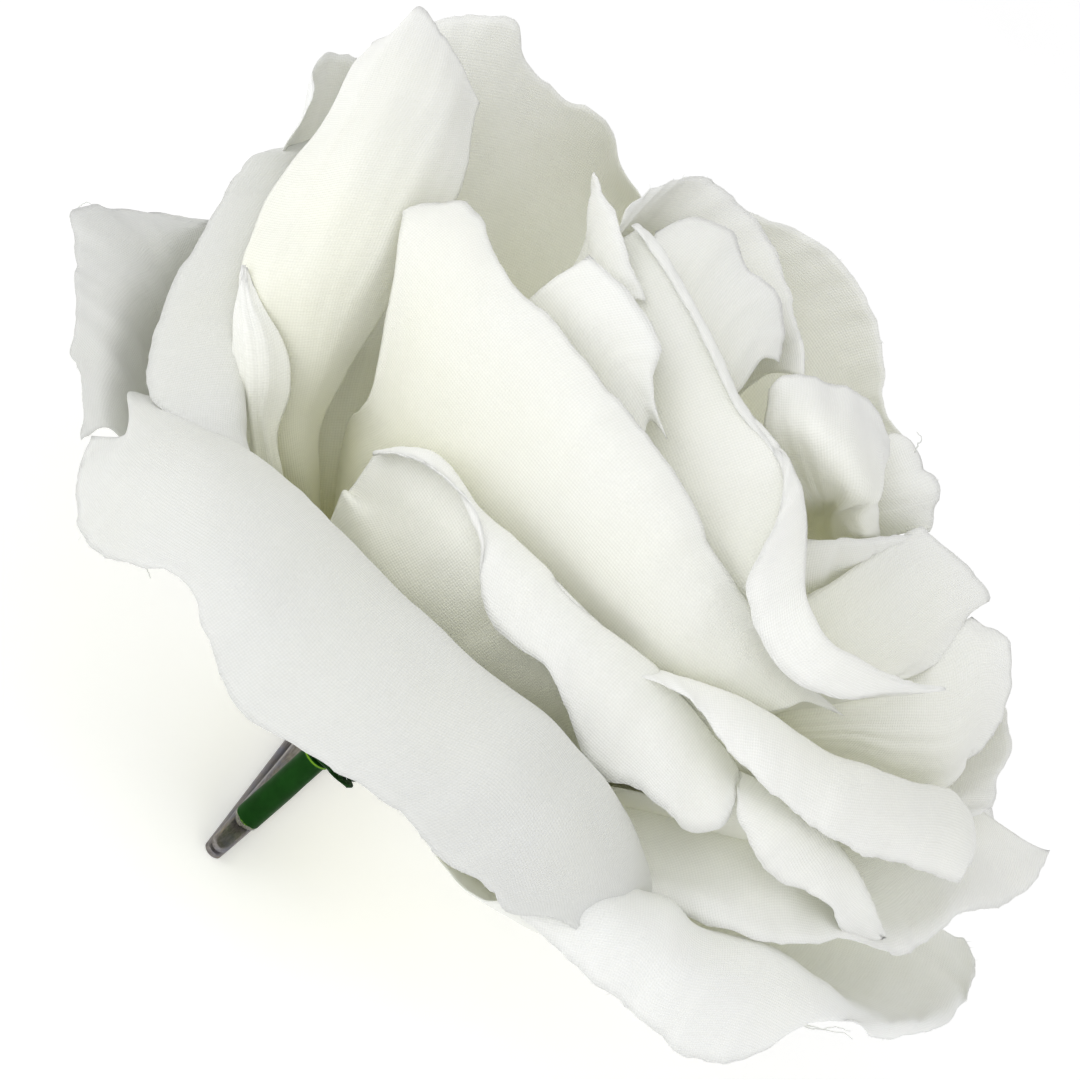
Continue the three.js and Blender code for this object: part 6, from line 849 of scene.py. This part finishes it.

# hot glue: a lumpy puddle between the stem's end and the jaw
lo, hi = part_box("glue_bead")
lo, hi = np.array(lo) / MM, np.array(hi) / MM
n_a, n_b = 56, 28
v, f = [], []
gr = np.random.RandomState(11)
ph = gr.uniform(0, 6.28, 6)
JAW = np.array(JAW_LINE, float)
for i in range(n_b + 1):
    th = math.pi * i / n_b
    for j in range(n_a):
        a = 2 * math.pi * j / n_a
        lump = 1 + 0.07 * math.sin(3 * a + ph[0]) * math.sin(th) + 0.05 * math.sin(5 * a + 2 * th + ph[1]) + 0.03 * math.sin(9 * a - 3 * th + ph[2]) * math.sin(th)
        p = np.array([1.42 * math.sin(th) * math.cos(a) * lump, 0.35 + 1.62 * math.sin(th) * math.sin(a) * lump, 3.55 + 0.80 * math.cos(th)])
        roof = np.interp(p[1], JAW[:, 0], JAW[:, 1]) + 0.6 - 0.05
        if math.hypot(p[0], p[1]) < STEM_R + 0.2:
            p[2] = min(p[2], 3.95)
        p[2] = max(p[2], roof)
        v.append(p)
for i in range(n_b):
    for j in range(n_a):
        k = (j + 1) % n_a
        f.append([i * n_a + j, (i + 1) * n_a + j, (i + 1) * n_a + k, i * n_a + k])
blob = (np.array(v), f)
glue = put("glue_bead_poured", *blob, [M_GLUE])
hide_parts("glue_bead")
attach(glue, "flower_side")

# a smear of the same glue where the calyx meets the cloth
smear = put("glue_smear", *join([tube(resample(np.array(GLUE_SMEAR, float), 16), np.interp(np.linspace(0, 1, 16), [0, 0.3, 0.7, 1], [0.08, 0.42, 0.34, 0.06]) * (1 + 0.15 * np.sin(np.arange(16) * 1.7)), 12)]), [M_GLUE])
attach(smear, "flower_side")

# ---------------------------------------------------------------- clip
SHEET = 0.6
TIP_Y, TIP_W, PIVOT_Y, PIVOT_Z, END_Y = -4.7, 1.1, 31.0, 4.0, 50.0

def half_width(y):
    w = float(np.interp(y, [TIP_Y + TIP_W, 24, 36, 41], [TIP_W, 2.7, 2.7, 3.05]))
    if y < TIP_Y + TIP_W:
        w = math.sqrt(max(0.0, TIP_W ** 2 - (TIP_Y + TIP_W - y) ** 2))
    if y > END_Y - 3:
        w = 3.05 * math.sqrt(max(0.0, 1 - ((y - (END_Y - 3)) / 3) ** 2))
    return max(w, 0.10)

def stations():
    a = [TIP_Y + TIP_W * (1 - math.cos(q)) for q in np.linspace(0.05, math.pi / 2, 12)]
    b = list(np.linspace(TIP_Y + TIP_W, END_Y - 3, 190))[1:]
    c = [END_Y - 3 + 3 * math.sin(q) for q in np.linspace(0, math.pi / 2 - 0.03, 16)][1:]
    return a + b + c

def channel(under, flange, crown=0.0):
    """A bent sheet along Y: its top, its folded-down sides with a rounded bend, and its real thickness."""
    rows = []
    for y in stations():
        w, z0, fl = half_width(y), under(y), flange(y)
        s = min(SHEET, 0.55 * w)
        rb = min(0.45, 0.45 * w)
        def chain(wd, top, low, r):
            pts = [(-wd, low + (top - r - low) * q) for q in (0, 0.33, 0.66)]
            pts += [(-wd + r - r * math.cos(math.radians(a)), top - r + r * math.sin(math.radians(a))) for a in (0, 22.5, 45, 67.5, 90)]
            pts += [((-wd + r) + 2 * (wd - r) * q, top + crown * (1 - (2 * q - 1) ** 2)) for q in (0.2, 0.4, 0.6, 0.8)]
            pts += [(wd - r + r * math.sin(math.radians(a)), top - r + r * math.cos(math.radians(a))) for a in (0, 22.5, 45, 67.5, 90)]
            pts += [(wd, low + (top - r - low) * q) for q in (0.66, 0.33, 0)]
            return pts
        low = z0 - fl
        outer = chain(w, z0 + SHEET, low + 0.06, rb)
        inner_top = z0
        inner = chain(max(w - s, 0.03), inner_top + (0 if fl > 0.02 else 0.0), min(low + 0.06, inner_top - 0.002), min(0.12, 0.3 * max(w - s, 0.03), max(0.001, (inner_top - min(low + 0.06, inner_top - 0.002)) * 0.8)))
        edge_l = [(-w + 0.08 * s / SHEET, low)]
        edge_r = [(w - 0.08 * s / SHEET, low)]
        ring = outer + edge_r + inner[::-1] + edge_l
        rows.append([[x, y, z] for x, z in ring])
    m = len(rows[0])
    verts = np.array(rows).reshape(-1, 3)
    faces = []
    for i in range(len(rows) - 1):
        for j in range(m):
            k = (j + 1) % m
            faces.append([i * m + j, i * m + k, (i + 1) * m + k, (i + 1) * m + j])
    faces.append([j for j in range(m)][::-1])
    faces.append([(len(rows) - 1) * m + j for j in range(m)])
    return verts, faces

def plate(x0, top_z, low_z, r=1.8, hole=0.88, seg=64):
    """An ear: an upright plate at x0..x0+SHEET with a rounded end, a hole for the pin and eased edges."""
    verts, faces = [], []
    rings = [(0.0, 0.0, hole + 0.06), (0.0, 0.06, hole), (0.0, SHEET - 0.06, hole), (0.0, SHEET, hole + 0.06), (1.0, SHEET, -0.08), (1.0, SHEET - 0.08, 0.0), (1.0, 0.08, 0.0), (1.0, 0.0, -0.08)]
    for s in range(seg):
        a = 2 * math.pi * s / seg
        cy, cz = math.cos(a), math.sin(a)
        reach = r
        span = (top_z - PIVOT_Z) if cz > 0 else (PIVOT_Z - low_z)
        if cz > 0 and top_z > PIVOT_Z + r or cz < 0 and low_z < PIVOT_Z - r:
            reach = min(r / max(abs(cy), 1e-6), span / max(abs(cz), 1e-6))
        for outer, dx, rr in rings:
            d = reach + rr if outer else rr
            verts.append([x0 + dx, PIVOT_Y + d * cy, PIVOT_Z + d * cz])
    m = len(rings)
    for s in range(seg):
        t = (s + 1) % seg
        for i in range(m):
            j = (i + 1) % m
            faces.append([s * m + i, s * m + j, t * m + j, t * m + i])
    return np.array(verts), faces

JY, JZ = JAW[:, 0], JAW[:, 1]
jaw_t = JY.copy()
def jaw_under(y):
    return float(spline(jaw_t, JAW[:, 1:2], np.array([y]))[0, 0])

def ramp01(y, a, b):
    q = min(1.0, max(0.0, (y - a) / (b - a)))
    return q * q * (3 - 2 * q)

def upper_flange(y):
    return 0.70 * ramp01(y, -0.5, 2.5) * (1 - ramp01(y, 26.5, 28.5)) + 0.50 * ramp01(y, 35.5, 38.5) * (1 - ramp01(y, 48, 49.5))

upper = join([channel(jaw_under, upper_flange), plate(1.3, 6.5, PIVOT_Z - 1.8), plate(-1.3 - SHEET, 6.5, PIVOT_Z - 1.8)])
upper = put("clip_flower_side_jaw_pressed", *upper, [M_METAL])
lower = join([channel(lambda y: 0.0, lambda y: 0.0), plate(2.1, PIVOT_Z + 1.8, 0.1), plate(-2.1 - SHEET, PIVOT_Z + 1.8, 0.1)])
lower = put("clip_hair_side_jaw_pressed", *lower, [M_METAL])
for ob, node, body in ((upper, "clip_flower_side_jaw", "flower_side"), (lower, "clip_hair_side_jaw", "hair_side")):
    for p in ob.data.polygons:
        p.use_smooth = True
    ob.data.set_sharp_from_angle(angle=math.radians(38))
    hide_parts(node)
    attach(ob, body)

# pivot pin with two peened, slightly domed heads
prof = [(0.0, -3.42)] + [(1.3 * math.sin(math.radians(a)), -2.95 - 0.47 * math.cos(math.radians(a))) for a in (20, 40, 60, 75, 88)] + [(1.3, -2.93), (1.22, -2.9), (0.8, -2.9), (0.8, 2.9), (1.22, 2.9), (1.3, 2.93)] + [(1.3 * math.sin(math.radians(a)), 2.95 + 0.47 * math.cos(math.radians(a))) for a in (88, 75, 60, 40, 20)] + [(0.0, 3.42)]
seg = 48
v, f = [], []
for s in range(seg):
    a = 2 * math.pi * s / seg
    for r, x in prof:
        rr = max(r, 0.02)
        v.append([x, PIVOT_Y + rr * math.cos(a), PIVOT_Z + rr * math.sin(a)])
m = len(prof)
for s in range(seg):
    t = (s + 1) % seg
    for i in range(m - 1):
        f.append([s * m + i, s * m + i + 1, t * m + i + 1, t * m + i])
f.append([s * m for s in range(seg)])
f.append([s * m + m - 1 for s in range(seg)][::-1])
pin = put("clip_pivot_pin_peened", np.array(v), f, [M_PIN])
pin.data.set_sharp_from_angle(angle=math.radians(50))
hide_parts("clip_pivot_pin")
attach(pin, "hair_side")

# torsion spring: a leg under the thumb lever of each jaw and three turns round the pin
TURNS, PITCH, COIL_R = 3, 0.55, 1.35
h = TURNS * PITCH / 2
pts = [[-h, PIVOT_Y + 9 - 9 * t, 1.25 + 1.4 * t * t] for t in np.linspace(0, 0.94, 20)]
steps = TURNS * 48
for i in range(steps + 1):
    q = i / steps
    a = -math.pi / 2 - q * (TURNS * 2 * math.pi - math.pi)
    pts.append([-h + q * 2 * h, PIVOT_Y + COIL_R * math.cos(a), PIVOT_Z + COIL_R * math.sin(a)])
pts += [[h, PIVOT_Y + 9 * t, PIVOT_Z + COIL_R + 2.85 * t * t] for t in np.linspace(0.06, 1, 20)]
pts = np.array(pts)
for _ in range(2):
    pts[1:-1] = (pts[:-2] + 2 * pts[1:-1] + pts[2:]) / 4
spring = put("clip_torsion_spring_wound", *tube(pts, 0.25, 12), [M_SPRING])
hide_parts("clip_torsion_spring")
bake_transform(spring)

# hidden pieces keep their CAD shape
for node, mat in (("bud_core", M_FOAM), ("stem_wire", M_SPRING)):
    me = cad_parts[node].data
    me.materials.clear()
    me.materials.append(mat)

# ---------------------------------------------------------------- floor and light
fl = 1.6
fv = [[x, y, -0.00002] for x, y in ((-fl, -fl), (fl, -fl), (fl, fl), (-fl, fl))]
fme = bpy.data.meshes.new("floor")
fme.from_pydata(fv, [], [[0, 1, 2, 3]])
floor = bpy.data.objects.new("floor", fme)
scene.collection.objects.link(floor)
fn = Nodes("pale_floor")
fn.wire(fn.mix(fn.map_range(fn.noise(fn.place(), 40, 2), 0.3, 0.7, 0, 1), (0.93, 0.93, 0.93, 1), (0.95, 0.95, 0.95, 1)), fn.b.inputs["Base Color"])
fn.set(Roughness=0.9, Emission_Strength=FLOOR_GLOW)
fn.b.inputs["Emission Color"].default_value = (1, 1, 1, 1)
fme.materials.append(fn.m)

world = bpy.data.worlds.new("studio")
scene.world = world
world.use_nodes = True
world.node_tree.nodes["Background"].inputs[0].default_value = (1.0, 1.0, 1.0, 1)
world.node_tree.nodes["Background"].inputs[1].default_value = WORLD

def softbox(name, at, aim, size, watts, colour=(1, 1, 1)):
    lamp = bpy.data.lights.new(name, "AREA")
    lamp.shape, lamp.size, lamp.energy, lamp.color = "DISK", size, watts, colour
    ob = bpy.data.objects.new(name, lamp)
    ob.location = at
    scene.collection.objects.link(ob)
    ob.rotation_euler = (Vector(aim) - Vector(at)).to_track_quat("-Z", "Y").to_euler()

centre = np.array([0, 0, 0.052])
for nm, direction, dist, size, watts in LAMPS:
    d = direction[0] * cam_x + direction[1] * cam_y + direction[2] * back
    d = d / np.linalg.norm(d)
    softbox(nm, centre + d * dist, centre, size, watts)

scene.view_settings.view_transform = "Standard"
scene.view_settings.look = "None"
